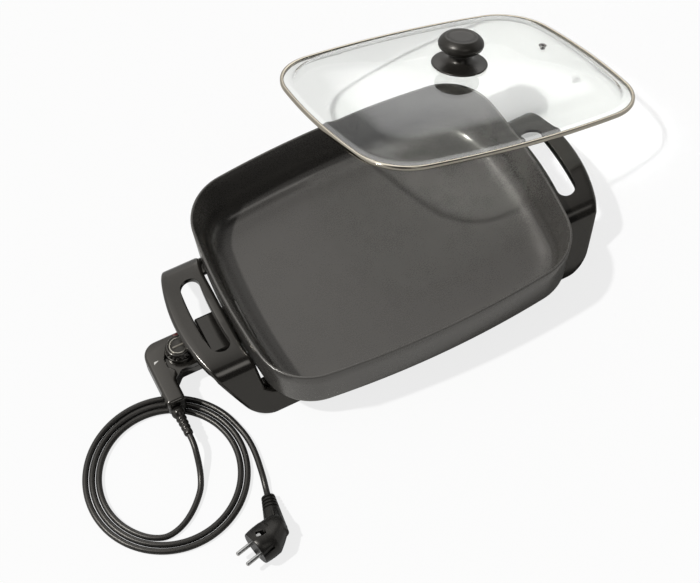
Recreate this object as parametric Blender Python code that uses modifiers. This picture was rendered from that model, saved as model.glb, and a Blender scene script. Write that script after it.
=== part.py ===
"""Electric skillet: a cast pan on two moulded handles, a plug-in thermostat control with its cord,
and a loose glass lid that leans over the pan's far corner.

Metres, +Z up. The origin is the centre of the cooking surface. The control plugs in at the -X end.
"""

import math

import bmesh
import bpy
from mathutils import Matrix, Vector

# Clearances shared by every seat and cut
SEAT_GAP = 0.0003
RUN_GAP = 0.0010
OVERRUN = 0.004

# Cast pan
PAN_HALF_LENGTH = 0.200
PAN_HALF_WIDTH = 0.1544
PAN_CORNER = 0.065
PAN_BOW_LONG = 0.0083
PAN_BOW_SHORT = 0.0058
PAN_DEPTH = 0.066
FLOOR_THICKNESS = 0.004
RIM_THICKNESS = 0.0032
RIM_ROUND = 0.0008
SEAT_WIDTH = 0.0033
SEAT_DEPTH = 0.0025
OUTER_DRAFT = 0.006
OUTER_FILLET = 0.024
INNER_DRAFT = 0.0055
INNER_FILLET = 0.030
PAN_UNDERSIDE = -FLOOR_THICKNESS
LEG_CLEARANCE = 0.030
TABLE_Z = PAN_UNDERSIDE - LEG_CLEARANCE

# Tubular heater brazed under the floor, and its terminals
HEATER_RADIUS = 0.00375
HEATER_Z = PAN_UNDERSIDE - SEAT_GAP - HEATER_RADIUS
HEATER_NEAR_MARGIN = 0.082
HEATER_FAR_MARGIN = 0.060
HEATER_NEAR_X = HEATER_NEAR_MARGIN - PAN_HALF_LENGTH
HEATER_FAR_X = PAN_HALF_LENGTH - HEATER_FAR_MARGIN
HEATER_HALF_WIDTH = 0.082
HEATER_CORNER = 0.040
HEATER_LEAD_BEND = 0.015
TERMINAL_SPACING = 0.022
TERMINAL_RADIUS = 0.0020
TERMINAL_LENGTH = 0.027
BUSH_RADIUS = 0.0034
BUSH_LENGTH = 0.008

# Socket boss cast at the -X end
SOCKET_Y = -0.008
SOCKET_FACE_INSET = 0.003
SOCKET_FACE_X = SOCKET_FACE_INSET - PAN_HALF_LENGTH
BOSS_HALF_WIDTH = 0.028
BOSS_BELOW = 0.009
BOSS_TOP = 0.005
BOSS_TOP_LENGTH = 0.019
BOSS_LENGTH = 0.049
BORE_WEB = 0.002

# Socket guard screwed to the boss
GUARD_WALL = 0.0025
GUARD_DEPTH = 0.0357
GUARD_ROUND = 0.0025
GUARD_SCREW_OFFSET = 0.019
GUARD_SCREW_RADIUS = 0.0014
GUARD_SCREW_HEAD = 0.0028
GUARD_SCREW_HEAD_HEIGHT = 0.0018
GUARD_SCREW_LENGTH = 0.010

# Moulded handle with its two legs
HANDLE_TOP = 0.040
HANDLE_THICKNESS = 0.011
HANDLE_REACH = 0.0595
HANDLE_STAND_OFF = 0.0015
HANDLE_OUTER = PAN_HALF_LENGTH + HANDLE_REACH
HANDLE_INNER = PAN_HALF_LENGTH + HANDLE_STAND_OFF
HANDLE_FLAT = 0.062
HANDLE_BEND = 0.022
HANDLE_BOW = 0.0090
LEG_ANGLE = math.radians(62)
LEG_TAPER = 0.017
LEG_TUCK = 0.0375
FOOT_OUTER_ROUND = 0.018
FOOT_INNER_ROUND = 0.006
HANDLE_EDGE = 0.0042
SLOT_HALF_LENGTH = 0.052
SLOT_HALF_WIDTH = 0.0115
SLOT_REACH = 0.0255
SLOT_CENTRE = PAN_HALF_LENGTH + SLOT_REACH
SLOT_BOW = 0.0035
SLOT_CHAMFER = 0.0024
EAR_THICKNESS = 0.006
EAR_HALF_WIDTH = 0.010
EAR_REACH = 0.012

# Lugs and screws that hold the handles
LUG_INSET = 0.050
LUG_X = PAN_HALF_LENGTH - LUG_INSET
LUG_Y = 0.088
LUG_RADIUS = 0.007
LUG_HEIGHT = 0.004
SCREW_RADIUS = 0.0020
SCREW_HEAD_RADIUS = 0.0042
SCREW_HEAD_HEIGHT = 0.0028
SLOT_CUT_WIDTH = 0.0010
SLOT_CUT_DEPTH = 0.0012

# Glass lid, in the lid's own frame with the band's mid plane at zero
LID_SIZE_SHARE = 0.984
LID_HALF_LENGTH = PAN_HALF_LENGTH * LID_SIZE_SHARE
LID_HALF_WIDTH = PAN_HALF_WIDTH * LID_SIZE_SHARE
LID_CORNER = PAN_CORNER * LID_SIZE_SHARE
LID_BOW_LONG = PAN_BOW_LONG * LID_SIZE_SHARE
LID_BOW_SHORT = PAN_BOW_SHORT * LID_SIZE_SHARE
GLASS_THICKNESS = 0.004
BAND_WALL = 0.0007
BAND_LIP = 0.0052
BAND_HALF_HEIGHT = GLASS_THICKNESS / 2 + SEAT_GAP + BAND_WALL
DOME_RISE = 0.0285
DOME_FLAT_RADIUS = 0.012
DOME_SHARES = [(0.045, 0.03), (0.075, 0.16), (0.115, 0.34), (0.17, 0.50), (0.25, 0.645), (0.36, 0.77),
               (0.5, 0.875), (0.66, 0.945), (0.82, 0.985)]
GLASS_HOLE = 0.0035
VENT_X = 0.125
VENT_HOLE = 0.0034
EYELET_BORE = 0.0018
EYELET_TUBE = 0.0030
EYELET_FLANGE = 0.0048
EYELET_FLANGE_THICKNESS = 0.0007
LID_TILT = math.radians(25.2)
LID_LEAN_AZIMUTH = math.radians(54.1)
LID_SPIN = math.radians(3.2)
LID_CENTRE_BACK_X = 0.0264
LID_CENTRE_BACK_Y = 0.0196

# Lid knob
COLLAR_RADIUS = 0.0352
COLLAR_EDGE = 0.0022
COLLAR_HEIGHT = 0.012
NECK_RADIUS = 0.0130
KNOB_RADIUS = 0.0285
KNOB_HEIGHT = 0.0250
KNOB_DISH = 0.0012
LID_SCREW_RADIUS = 0.0025
LID_SCREW_HEAD = 0.0050
LID_SCREW_HEAD_HEIGHT = 0.0025
LID_SCREW_REACH = 0.014
WASHER_RADIUS = 0.0080
WASHER_THICKNESS = 0.0015

# Thermostat control
CONTROL_CLEARANCE = 0.0105
CONTROL_BOTTOM = TABLE_Z + CONTROL_CLEARANCE
CONTROL_TOP = 0.0050
CONTROL_WALL = 0.0025
GRIP_WALL = 0.0042
ARM_HALF_WIDTH = 0.0225
ARM_FRONT_REACH = 0.006
ARM_FRONT_X = -PAN_HALF_LENGTH - ARM_FRONT_REACH
CONTROL_LENGTH = 0.0968
CONTROL_OUTER_X = ARM_FRONT_X - CONTROL_LENGTH
GRIP_WIDTH = 0.0218
GRIP_END_Y = -0.068
ELBOW_ROUND = 0.018
ARM_DROP = 0.0058
ARM_ROOF = 0.0022
STEP_BACK = 0.0196
STEP_CORNER = 0.0055
STEP_FRONT = 0.016
STEP_REAR = 0.011
TURRET_RADIUS = 0.0166
INNER_ELBOW_STEP = 0.010
CONTROL_CORNER = 0.006
TOP_ROUND = 0.0040
PARTING_ROUND = 0.0005
CAVITY_BACK_WALL = 0.0198
BRIDGE_WALL = 0.0044
BRIDGE_REACH = 0.0105
CAVITY_FRONT_WALL = 0.006
CAVITY_BACK_X = CONTROL_OUTER_X + CAVITY_BACK_WALL
CAVITY_FRONT_X = ARM_FRONT_X - CAVITY_FRONT_WALL
PROBE_RADIUS = 0.0032
PROBE_REACH = 0.0535
PROBE_TIP_X = ARM_FRONT_X + PROBE_REACH
PROBE_FLANGE_RADIUS = 0.0046
PROBE_FLANGE_LENGTH = 0.0016
SLEEVE_RADIUS = 0.0036
SLEEVE_LENGTH = 0.019
CONTROL_SCREW_RADIUS = 0.0014
CONTROL_SCREW_HEAD = 0.0026
CONTROL_SCREW_HEAD_HEIGHT = 0.0016
GRIP_SCREW_INSET_X = 0.0108
GRIP_SCREW_INSET_Y = 0.016
ARM_SCREW_INSET_X = 0.026
ARM_SCREW_OFFSET_Y = 0.0178
CONTROL_SCREW_PLACES = [(CONTROL_OUTER_X + GRIP_SCREW_INSET_X, GRIP_END_Y + GRIP_SCREW_INSET_Y),
                        (ARM_FRONT_X - ARM_SCREW_INSET_X, SOCKET_Y + ARM_SCREW_OFFSET_Y)]
POST_RADIUS = 0.0034

# Dial
DIAL_REACH = 0.057
DIAL_X = ARM_FRONT_X - DIAL_REACH
DIAL_RADIUS = 0.0158
DIAL_FLUTES = 20
DIAL_FLUTE_DEPTH = 0.0005
DIAL_SKIRT_HEIGHT = 0.0036
DIAL_HEIGHT = 0.0085
DIAL_CROWN_RADIUS = 0.0140
DIAL_BAR_LENGTH = 0.0085
DIAL_BAR_WIDTH = 0.0024
DIAL_BAR_HEIGHT = 0.0022
RING_OUTER = 0.0113
RING_INNER = 0.0090
RING_HEIGHT = 0.0008
SHAFT_RADIUS = 0.0030
SHAFT_DEPTH = 0.0085
LENS_OFFSET_X = 0.0045
LENS_X = DIAL_X + LENS_OFFSET_X
LENS_HALF_LENGTH = 0.0042
LENS_HALF_WIDTH = 0.0022
LENS_EDGE = 0.0042
LENS_Y = SOCKET_Y + ARM_HALF_WIDTH - LENS_EDGE
LENS_PROUD = 0.0006

# Thermostat works inside the control
BASE_HALF = (0.017, 0.009, 0.0025)
BASE_X = DIAL_X
BIMETAL_HALF = (0.013, 0.003, 0.0004)
TERMINAL_BLOCK_HALF = (0.006, 0.0095, 0.004)
TERMINAL_BLOCK_INSET = 0.0143
TERMINAL_BLOCK_X = CONTROL_OUTER_X + TERMINAL_BLOCK_INSET

# Cord, its relief and its flat coil on the table
CORD_DIAMETER = 0.0070
CORD_RADIUS = CORD_DIAMETER / 2
CORD_LIFT = 0.0001
CORD_Z = TABLE_Z + CORD_RADIUS + CORD_LIFT
RELIEF_INSET = 0.0083
RELIEF_X = CONTROL_OUTER_X + RELIEF_INSET
RELIEF_HEIGHT = 0.0230
RELIEF_Z = TABLE_Z + RELIEF_HEIGHT
RELIEF_LENGTH = 0.036
RELIEF_ROOT_RADIUS = 0.0070
RELIEF_TIP_RADIUS = 0.0050
RELIEF_RIBS = 4
RELIEF_GROOVE = 0.0012
RELIEF_PLUG_RADIUS = 0.0052
RELIEF_PLUG_LENGTH = 0.006
COIL_OFFSET_X = -0.0395
COIL_Y = -0.129
COIL_CENTRE = (RELIEF_X + COIL_OFFSET_X, COIL_Y)
COIL_START_RADIUS = 0.076
COIL_PITCH = 0.0076
COIL_START = math.radians(-127.5)
COIL_TURN_POINTS = 24
COIL_STEPS = 62
JOIN_LENGTH = 0.0072
# Routes of the lead and the tail: x from the relief, y, and height over the table
LEAD_ROUTE = [
    (0.0, -0.1115, 0.0226), (-0.0007, -0.1195, 0.0212), (-0.0027, -0.1300, 0.0168),
    (-0.0053, -0.1405, 0.0110), (-0.0090, -0.1510, 0.0064), (-0.0140, -0.1610, 0.0042),
    (-0.0220, -0.1710, 0.0036), (-0.0330, -0.1815, 0.0036), (-0.0455, -0.1900, 0.0036),
    (-0.0585, -0.1950, 0.0036), (-0.0715, -0.1958, 0.0036)]
TAIL_ROUTE = [
    (0.0567, -0.1195, 0.0036), (0.0584, -0.1320, 0.0036), (0.0585, -0.1450, 0.0037),
    (0.0573, -0.1580, 0.0039), (0.0553, -0.1710, 0.0044), (0.0531, -0.1830, 0.0054)]

# Angled plug lying on the table: its face from the relief, y and height, pin direction and roll about it
PLUG_FACE = (0.0085, -0.2600, 0.0200)
PLUG_AZIMUTH = math.radians(193.5)
PLUG_ROLL = math.radians(18)
PLUG_FACE_RADIUS = 0.0192
PLUG_PIN_SPACING = 0.019
PLUG_PIN_RADIUS = 0.0024
PLUG_PIN_LENGTH = 0.019
PLUG_PIN_SEAT = 0.006
PLUG_SECTIONS = [
    (0.0, 0.0, 0.0185, 0.0185), (-0.0012, 0.0, 0.0192, 0.0192), (-0.0120, 0.0, 0.0192, 0.0182),
    (-0.0200, -0.0005, 0.0190, 0.0162), (-0.0280, -0.0020, 0.0170, 0.0140),
    (-0.0350, -0.0035, 0.0135, 0.0122),
    (-0.0405, -0.0045, 0.0080, 0.0085)]
NECK_ROOT = (-0.0280, 0.0035)
NECK_TIP = (-0.0510, -0.0455)
NECK_ROOT_HALF = (0.0130, 0.0105)
NECK_TIP_HALF = (0.0078, 0.0072)
NECK_GROOVES = 4
NECK_GROOVE_DEPTH = 0.0012
NECK_GROOVE_SHARES = (0.62, 0.96)
EARTH_WIDTH = 0.0045
EARTH_DEPTH = 0.0040
EARTH_LENGTH = 0.012
EARTH_STRIP = 0.0008

# Facet counts
SIDE_STEPS = 4
CORNER_STEPS = 6
FILLET_STEPS = 5
ROUND_STEPS = 32
SMALL_STEPS = 16

COLORS = {
    "pan": ((0.062, 0.056, 0.050), 0.45, 0.3), "steel": ((0.62, 0.60, 0.57), 0.28, 1.0),
    "phenolic": ((0.012, 0.011, 0.010), 0.22, 0.0), "glass": ((0.86, 0.88, 0.87), 0.03, 0.0),
    "knob": ((0.026, 0.024, 0.022), 0.45, 0.0), "ceramic": ((0.72, 0.69, 0.62), 0.6, 0.0),
    "rubber": ((0.035, 0.035, 0.034), 0.55, 0.0), "plug": ((0.045, 0.045, 0.044), 0.6, 0.0),
    "lens": ((0.16, 0.010, 0.008), 0.15, 0.0), "copper": ((0.55, 0.30, 0.16), 0.35, 1.0),
}


def clear_scene():
    """Remove every object that the file opened with."""
    for found in list(bpy.data.objects):
        bpy.data.objects.remove(found, do_unlink=True)


def make_collection(name):
    made = bpy.data.collections.new(name)
    bpy.context.scene.collection.children.link(made)
    return made


clear_scene()
PARTS = make_collection("electric_skillet")
CUTTERS = make_collection("cutters")
MATERIALS = {}


def material(key):
    """Principled material for one finish of the skillet."""
    if key not in MATERIALS:
        color, roughness, metallic = COLORS[key]
        made = bpy.data.materials.new(key)
        made.use_nodes = True
        shader = made.node_tree.nodes["Principled BSDF"]
        shader.inputs["Base Color"].default_value = (*color, 1.0)
        shader.inputs["Roughness"].default_value = roughness
        shader.inputs["Metallic"].default_value = metallic
        if key == "glass":
            shader.inputs["Transmission Weight"].default_value = 1.0
        made.diffuse_color = (*color, 1.0)
        MATERIALS[key] = made
    return MATERIALS[key]


def place(name, data, finish=None, parent=None):
    """Put mesh or curve data in the scene; without a finish it is a cutter."""
    made = bpy.data.objects.new(name, data)
    if finish is None:
        CUTTERS.objects.link(made)
        made.hide_render = True
        made.display_type = "WIRE"
    else:
        PARTS.objects.link(made)
        data.materials.append(material(finish))
    if parent is not None:
        made.parent = parent
    return made


def from_bmesh(name, bm, finish=None, parent=None, smooth=math.radians(35)):
    bmesh.ops.recalc_face_normals(bm, faces=bm.faces)
    mesh = bpy.data.meshes.new(name)
    bm.to_mesh(mesh)
    bm.free()
    mesh.shade_smooth()
    mesh.set_sharp_from_angle(angle=smooth)
    return place(name, mesh, finish, parent)


def box(name, low, high, finish=None, parent=None, rounded=0.0):
    """Box between two corners, its edges rounded by a Bevel modifier when asked."""
    size = Vector(high) - Vector(low)
    centre = (Vector(high) + Vector(low)) / 2
    bm = bmesh.new()
    bmesh.ops.create_cube(bm, size=1.0, matrix=Matrix.Translation(centre) @ Matrix.Diagonal((*size, 1.0)))
    made = from_bmesh(name, bm, finish, parent)
    if rounded:
        bevel = made.modifiers.new("rounded", "BEVEL")
        bevel.width = rounded
        bevel.segments = 2
        bevel.limit_method = "ANGLE"
    return made


def along(axis):
    """Rotation that turns +Z to the named axis."""
    return Vector((0, 0, 1)).rotation_difference(Vector(axis)).to_matrix().to_4x4()


def rod(name, radius, start, end, finish=None, parent=None, steps=SMALL_STEPS):
    """Cylinder between two points."""
    run = Vector(end) - Vector(start)
    middle = (Vector(end) + Vector(start)) / 2
    bm = bmesh.new()
    bmesh.ops.create_cone(bm, cap_ends=True, segments=steps, radius1=radius, radius2=radius, depth=run.length,
                          matrix=Matrix.Translation(middle) @ along(run))
    return from_bmesh(name, bm, finish, parent)


def turned(name, profile, finish=None, parent=None, base=(0, 0, 0), axis=(0, 0, 1), steps=ROUND_STEPS):
    """Revolve (radius, height) points, listed top to bottom on the outer side, about an axis."""
    bm = bmesh.new()
    points = [bm.verts.new((radius, 0, height)) for radius, height in profile]
    closed = profile[0][0] > 0
    for first, second in zip(points, points[1:] + points[:1] if closed else points[1:]):
        bm.edges.new((first, second))
    mesh = bpy.data.meshes.new(name)
    bm.to_mesh(mesh)
    bm.free()
    made = place(name, mesh, finish, parent)
    made.matrix_local = Matrix.Translation(base) @ along(axis)
    screw = made.modifiers.new("turn", "SCREW")
    screw.axis = "Z"
    screw.steps = steps
    screw.render_steps = steps
    screw.use_merge_vertices = True
    screw.merge_threshold = 0.00001
    screw.use_smooth_shade = True
    return made


def loft(name, rings, finish=None, parent=None, ring_shaped=False):
    """Skin rings of equal point counts; the ends are capped unless the rings close on themselves."""
    bm = bmesh.new()
    rows = [[bm.verts.new(point) for point in ring] for ring in rings]
    pairs = list(zip(rows, rows[1:]))
    if ring_shaped:
        pairs.append((rows[-1], rows[0]))
    else:
        bm.faces.new(rows[0])
        bm.faces.new(rows[-1])
    for lower, upper in pairs:
        for step in range(len(lower)):
            after = (step + 1) % len(lower)
            bm.faces.new((lower[step], lower[after], upper[after], upper[step]))
    return from_bmesh(name, bm, finish, parent)


def combine(target, tool, operation):
    """Boolean one object with another; the tool becomes a hidden cutter."""
    change = target.modifiers.new(tool.name, "BOOLEAN")
    change.operation = operation
    change.object = tool
    change.solver = "EXACT"
    return target


def outline(half_length, half_width, corner, bow_long, bow_short, corner_steps=CORNER_STEPS,
            side_steps=SIDE_STEPS):
    """Bowed rectangle with round corners, counter-clockwise from the middle of the +X side."""
    reach_x = half_length - corner
    reach_y = half_width - corner
    corner_x, corner_y = reach_x, reach_y
    for _ in range(30):
        corner_x = reach_x - bow_short * (corner_y / reach_y) ** 2
        corner_y = reach_y - bow_long * (corner_x / reach_x) ** 2
    quarter = []
    for step in range(side_steps):
        y = corner_y * step / side_steps
        slope = 2 * bow_short * y / reach_y ** 2
        norm = math.hypot(1, slope)
        quarter.append((reach_x - bow_short * (y / reach_y) ** 2 + corner / norm, y + corner * slope / norm))
    first = math.atan2(2 * bow_short * corner_y / reach_y ** 2, 1)
    last = math.atan2(1, 2 * bow_long * corner_x / reach_x ** 2)
    for step in range(corner_steps + 1):
        turn = first + (last - first) * step / corner_steps
        quarter.append((corner_x + corner * math.cos(turn), corner_y + corner * math.sin(turn)))
    for step in range(1, side_steps + 1):
        x = corner_x * (1 - step / side_steps)
        slope = 2 * bow_long * x / reach_x ** 2
        norm = math.hypot(1, slope)
        quarter.append((x + corner * slope / norm, reach_y - bow_long * (x / reach_x) ** 2 + corner / norm))
    upper = quarter + [(-x, y) for x, y in reversed(quarter[:-1])]
    return upper + [(x, -y) for x, y in reversed(upper[1:-1])]


def rounded_polygon(points, radii, steps=4, closed=True):
    """Replace each corner of a polygon or path by an arc of its radius."""
    made = []
    count = len(points)
    for index, (point, radius) in enumerate(zip(points, radii)):
        here = Vector(point)
        if radius == 0 or (not closed and index in (0, count - 1)):
            made.append(tuple(here))
            continue
        back = (Vector(points[index - 1]) - here).normalized()
        ahead = (Vector(points[(index + 1) % count]) - here).normalized()
        half = back.angle(ahead) / 2
        centre = here + (back + ahead).normalized() * radius / math.sin(half)
        first = here + back * radius / math.tan(half) - centre
        last = here + ahead * radius / math.tan(half) - centre
        sweep = first.angle(last)
        for step in range(steps + 1):
            share = step / steps
            made.append(tuple(centre + (first * math.sin((1 - share) * sweep) + last
                                        * math.sin(share * sweep))
                              / math.sin(sweep)))
    return made


def tube(name, points, radius, resolution, finish, parent=None):
    """Round bar or cord along a list of points, with filled ends."""
    curve = bpy.data.curves.new(name, "CURVE")
    curve.dimensions = "3D"
    curve.bevel_depth = radius
    curve.bevel_resolution = resolution
    curve.use_fill_caps = True
    spline = curve.splines.new("POLY")
    spline.points.add(len(points) - 1)
    for held, point in zip(spline.points, points):
        held.co = (*point, 1)
    return place(name, curve, finish, parent)


def empty(name, matrix, parent=None):
    made = bpy.data.objects.new(name, None)
    PARTS.objects.link(made)
    if parent is not None:
        made.parent = parent
    made.matrix_local = matrix
    return made


def pan_ring(inset, z):
    """Outline of the pan moved in by an inset, at a height."""
    shape = outline(PAN_HALF_LENGTH - inset, PAN_HALF_WIDTH - inset, PAN_CORNER - inset, PAN_BOW_LONG,
                    PAN_BOW_SHORT)
    return [(x, y, z) for x, y in shape]


def fillet(inset, z, radius):
    """Quarter fillet from a flat at the bottom up to a wall, as (inset, z) points."""
    turns = [math.pi / 2 * step / FILLET_STEPS for step in range(FILLET_STEPS + 1)]
    return [(inset + radius * (1 - math.sin(turn)), z + radius * (1 - math.cos(turn))) for turn in turns]


def build_pan():
    seat_inset = RIM_THICKNESS + SEAT_WIDTH
    outer = fillet(OUTER_DRAFT, PAN_UNDERSIDE, OUTER_FILLET)
    rim = [(0, PAN_DEPTH - RIM_ROUND), (RIM_ROUND, PAN_DEPTH), (RIM_THICKNESS - RIM_ROUND, PAN_DEPTH),
           (RIM_THICKNESS, PAN_DEPTH - RIM_ROUND), (RIM_THICKNESS, PAN_DEPTH - SEAT_DEPTH),
           (seat_inset, PAN_DEPTH - SEAT_DEPTH)]
    inner = fillet(seat_inset + INNER_DRAFT, 0, INNER_FILLET)[::-1]
    pan = loft("pan_body", [pan_ring(inset, z) for inset, z in outer + rim + inner], "pan")
    boss_low = HEATER_Z - BOSS_BELOW
    low_y, high_y = SOCKET_Y - BOSS_HALF_WIDTH, SOCKET_Y + BOSS_HALF_WIDTH
    combine(pan, box("boss_top", (SOCKET_FACE_X, low_y, boss_low), (SOCKET_FACE_X + BOSS_TOP_LENGTH, high_y,
                                                                    BOSS_TOP)),
            "UNION")
    combine(pan, box("boss_base", (SOCKET_FACE_X, low_y, boss_low),
                     (SOCKET_FACE_X + BOSS_LENGTH, high_y, PAN_UNDERSIDE / 4)), "UNION")
    for x, y in lug_places():
        combine(pan, rod(f"lug_{x:.2f}_{y:.2f}", LUG_RADIUS, (x, y, PAN_UNDERSIDE / 2),
                         (x, y, PAN_UNDERSIDE - LUG_HEIGHT)), "UNION")
        combine(pan, rod(f"lug_hole_{x:.2f}_{y:.2f}", SCREW_RADIUS + SEAT_GAP,
                         (x, y, PAN_UNDERSIDE + SEAT_GAP / 2),
                         (x, y, PAN_UNDERSIDE - LUG_HEIGHT - OVERRUN)), "DIFFERENCE")
    outside = SOCKET_FACE_X - OVERRUN
    inside = SOCKET_FACE_X + BOSS_LENGTH
    combine(pan, rod("probe_bore", PROBE_RADIUS + SEAT_GAP, (outside, SOCKET_Y, HEATER_Z),
                     (inside - BORE_WEB, SOCKET_Y, HEATER_Z)), "DIFFERENCE")
    for y in terminal_rows():
        combine(pan, rod(f"heater_bore_{y:.3f}", HEATER_RADIUS + SEAT_GAP, (outside, y, HEATER_Z),
                         (inside + OVERRUN, y, HEATER_Z)), "DIFFERENCE")
    for y in guard_screw_rows():
        combine(pan, rod(f"guard_thread_{y:.3f}", GUARD_SCREW_RADIUS + SEAT_GAP, (outside, y, HEATER_Z),
                         (SOCKET_FACE_X + GUARD_SCREW_LENGTH, y, HEATER_Z)), "DIFFERENCE")


def lug_places():
    return [(x, y) for x in (-LUG_X, LUG_X) for y in (-LUG_Y, LUG_Y)]


def terminal_rows():
    return (SOCKET_Y - TERMINAL_SPACING / 2, SOCKET_Y + TERMINAL_SPACING / 2)


def guard_screw_rows():
    return (SOCKET_Y - GUARD_SCREW_OFFSET, SOCKET_Y + GUARD_SCREW_OFFSET)


def build_heater():
    """Tubular element, its ceramic bushes and its terminal pins."""
    low_y, high_y = terminal_rows()
    start_x = SOCKET_FACE_X + SEAT_GAP
    corners = [(start_x, high_y), (HEATER_NEAR_X, high_y), (HEATER_NEAR_X, HEATER_HALF_WIDTH),
               (HEATER_FAR_X, HEATER_HALF_WIDTH), (HEATER_FAR_X, -HEATER_HALF_WIDTH),
               (HEATER_NEAR_X, -HEATER_HALF_WIDTH), (HEATER_NEAR_X, low_y), (start_x, low_y)]
    radii = [0, HEATER_LEAD_BEND, HEATER_CORNER, HEATER_CORNER, HEATER_CORNER, HEATER_CORNER,
             HEATER_LEAD_BEND, 0]
    path = rounded_polygon(corners, radii, steps=6, closed=False)
    tube("heating_element", [(x, y, HEATER_Z) for x, y in path], HEATER_RADIUS, 2, "steel")
    for side, y in zip(("front", "rear"), (low_y, high_y)):
        face = start_x - SEAT_GAP
        bush = [(BUSH_RADIUS, BUSH_LENGTH), (BUSH_RADIUS, 0), (TERMINAL_RADIUS + SEAT_GAP, 0),
                (TERMINAL_RADIUS + SEAT_GAP, BUSH_LENGTH)]
        turned(f"terminal_bush_{side}", bush, "ceramic", base=(face, y, HEATER_Z), axis=(-1, 0, 0),
               steps=SMALL_STEPS)
        tip = TERMINAL_RADIUS / 2
        pin = [(0, TERMINAL_LENGTH), (tip, TERMINAL_LENGTH), (TERMINAL_RADIUS, TERMINAL_LENGTH - tip),
               (TERMINAL_RADIUS, 0), (0, 0)]
        turned(f"terminal_pin_{side}", pin, "steel", base=(face, y, HEATER_Z), axis=(-1, 0, 0),
               steps=SMALL_STEPS)


def build_guard():
    """Open-mouthed guard round the terminals, held on the boss by two screws."""
    back = SOCKET_FACE_X - SEAT_GAP
    mouth = back - GUARD_DEPTH
    half = ARM_HALF_WIDTH + RUN_GAP
    low_z, high_z = CONTROL_BOTTOM - RUN_GAP, CONTROL_TOP + RUN_GAP
    guard = box("socket_guard", (mouth, SOCKET_Y - half - GUARD_WALL, low_z - GUARD_WALL),
                (back, SOCKET_Y + half + GUARD_WALL, high_z + GUARD_WALL), "phenolic", rounded=GUARD_ROUND)
    combine(guard, box("guard_room", (mouth - OVERRUN, SOCKET_Y - half, low_z),
                       (back - GUARD_WALL, SOCKET_Y + half, high_z)), "DIFFERENCE")
    holes = [(y, BUSH_RADIUS + SEAT_GAP) for y in terminal_rows()]
    holes += [(y, GUARD_SCREW_RADIUS + SEAT_GAP) for y in guard_screw_rows()]
    holes.append((SOCKET_Y, PROBE_RADIUS + SEAT_GAP))
    for y, radius in holes:
        combine(guard, rod(f"guard_hole_{y:.3f}", radius, (back + OVERRUN, y, HEATER_Z),
                           (back - GUARD_WALL - OVERRUN, y, HEATER_Z)), "DIFFERENCE")
    for side, y in zip(("front", "rear"), guard_screw_rows()):
        head = GUARD_SCREW_HEAD_HEIGHT
        profile = [(0, head), (GUARD_SCREW_HEAD / 2, head), (GUARD_SCREW_HEAD, head / 2),
                   (GUARD_SCREW_HEAD, 0),
                   (GUARD_SCREW_RADIUS, 0), (GUARD_SCREW_RADIUS, -GUARD_SCREW_LENGTH),
                   (0, -GUARD_SCREW_LENGTH)]
        turned(f"guard_screw_{side}", profile, "steel", base=(back - GUARD_WALL - SEAT_GAP, y, HEATER_Z),
               axis=(-1, 0, 0), steps=SMALL_STEPS)


def handle_stations():
    """Outer path of the handle from its middle to one foot: (y, z, tilt of the surface normal)."""
    stations = [(HANDLE_FLAT * share, HANDLE_TOP, 0) for share in (0, 0.35, 0.7, 1)]
    for step in range(1, 6):
        turn = LEG_ANGLE * step / 5
        stations.append((HANDLE_FLAT + HANDLE_BEND * math.sin(turn), HANDLE_TOP - HANDLE_BEND
                         * (1 - math.cos(turn)),
                         turn))
    bend_y, bend_z, _ = stations[-1]
    run = bend_z - TABLE_Z
    spread = run / math.tan(LEG_ANGLE)
    round_start = 1 - FOOT_OUTER_ROUND / run
    for share in [round_start * 0.4, round_start * 0.8] + [
            1 - (1 - round_start) * (1 - math.sin(math.pi / 2 * step / 4)) for step in range(5)]:
        turn = LEG_ANGLE + (math.pi / 2 - LEG_ANGLE) * max(0, share - 0.6) / 0.4
        stations.append((bend_y + spread * share, bend_z - run * share, turn))
    return stations, bend_z


def foot_round(height, radius):
    """How far a leg's edge has drawn in at a height over the table, for a round corner at its foot."""
    below = max(0, radius - height)
    return radius - math.sqrt(max(0, radius ** 2 - below ** 2))


def handle_section(y, z, turn, bend_z, side, mirror):
    """Rounded rectangle across the handle at one station."""
    drop = max(0, bend_z - z) / (bend_z - TABLE_Z)
    outer = HANDLE_OUTER - HANDLE_BOW * (y / HANDLE_FLAT) ** 2 - LEG_TAPER * drop
    outer -= foot_round(z - TABLE_Z, FOOT_OUTER_ROUND)
    inner = HANDLE_INNER - LEG_TUCK * drop + foot_round(z - TABLE_Z, FOOT_INNER_ROUND)
    width = (outer - inner) / 2
    middle = (outer + inner) / 2
    thickness = HANDLE_THICKNESS / 2
    flat = [(width, -thickness), (width, thickness), (-width, thickness), (-width, -thickness)]
    radii = [HANDLE_EDGE / 2, HANDLE_EDGE, HANDLE_EDGE, HANDLE_EDGE / 2]
    section = []
    for across, out in rounded_polygon(flat, radii, steps=3):
        depth = thickness - out
        section.append((side * (middle + across), mirror * (y - depth * math.sin(turn)),
                        z - depth * math.cos(turn)))
    return section


def slot_ring(z, grow, side):
    """Finger slot outline, a stadium bowed like the handle, at a height."""
    reach = SLOT_HALF_LENGTH - SLOT_HALF_WIDTH
    radius = SLOT_HALF_WIDTH + grow
    points = []
    for end in (1, -1):
        for step in range(9):
            turn = math.pi * step / 8
            points.append((end * radius * math.cos(turn), end * (reach + radius * math.sin(turn))))
        points += [(-end * radius, end * reach * share) for share in (0.5, 0, -0.5)]
    return [(side * (SLOT_CENTRE + x - SLOT_BOW * (y / SLOT_HALF_LENGTH) ** 2), y, z) for x, y in points]


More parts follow.
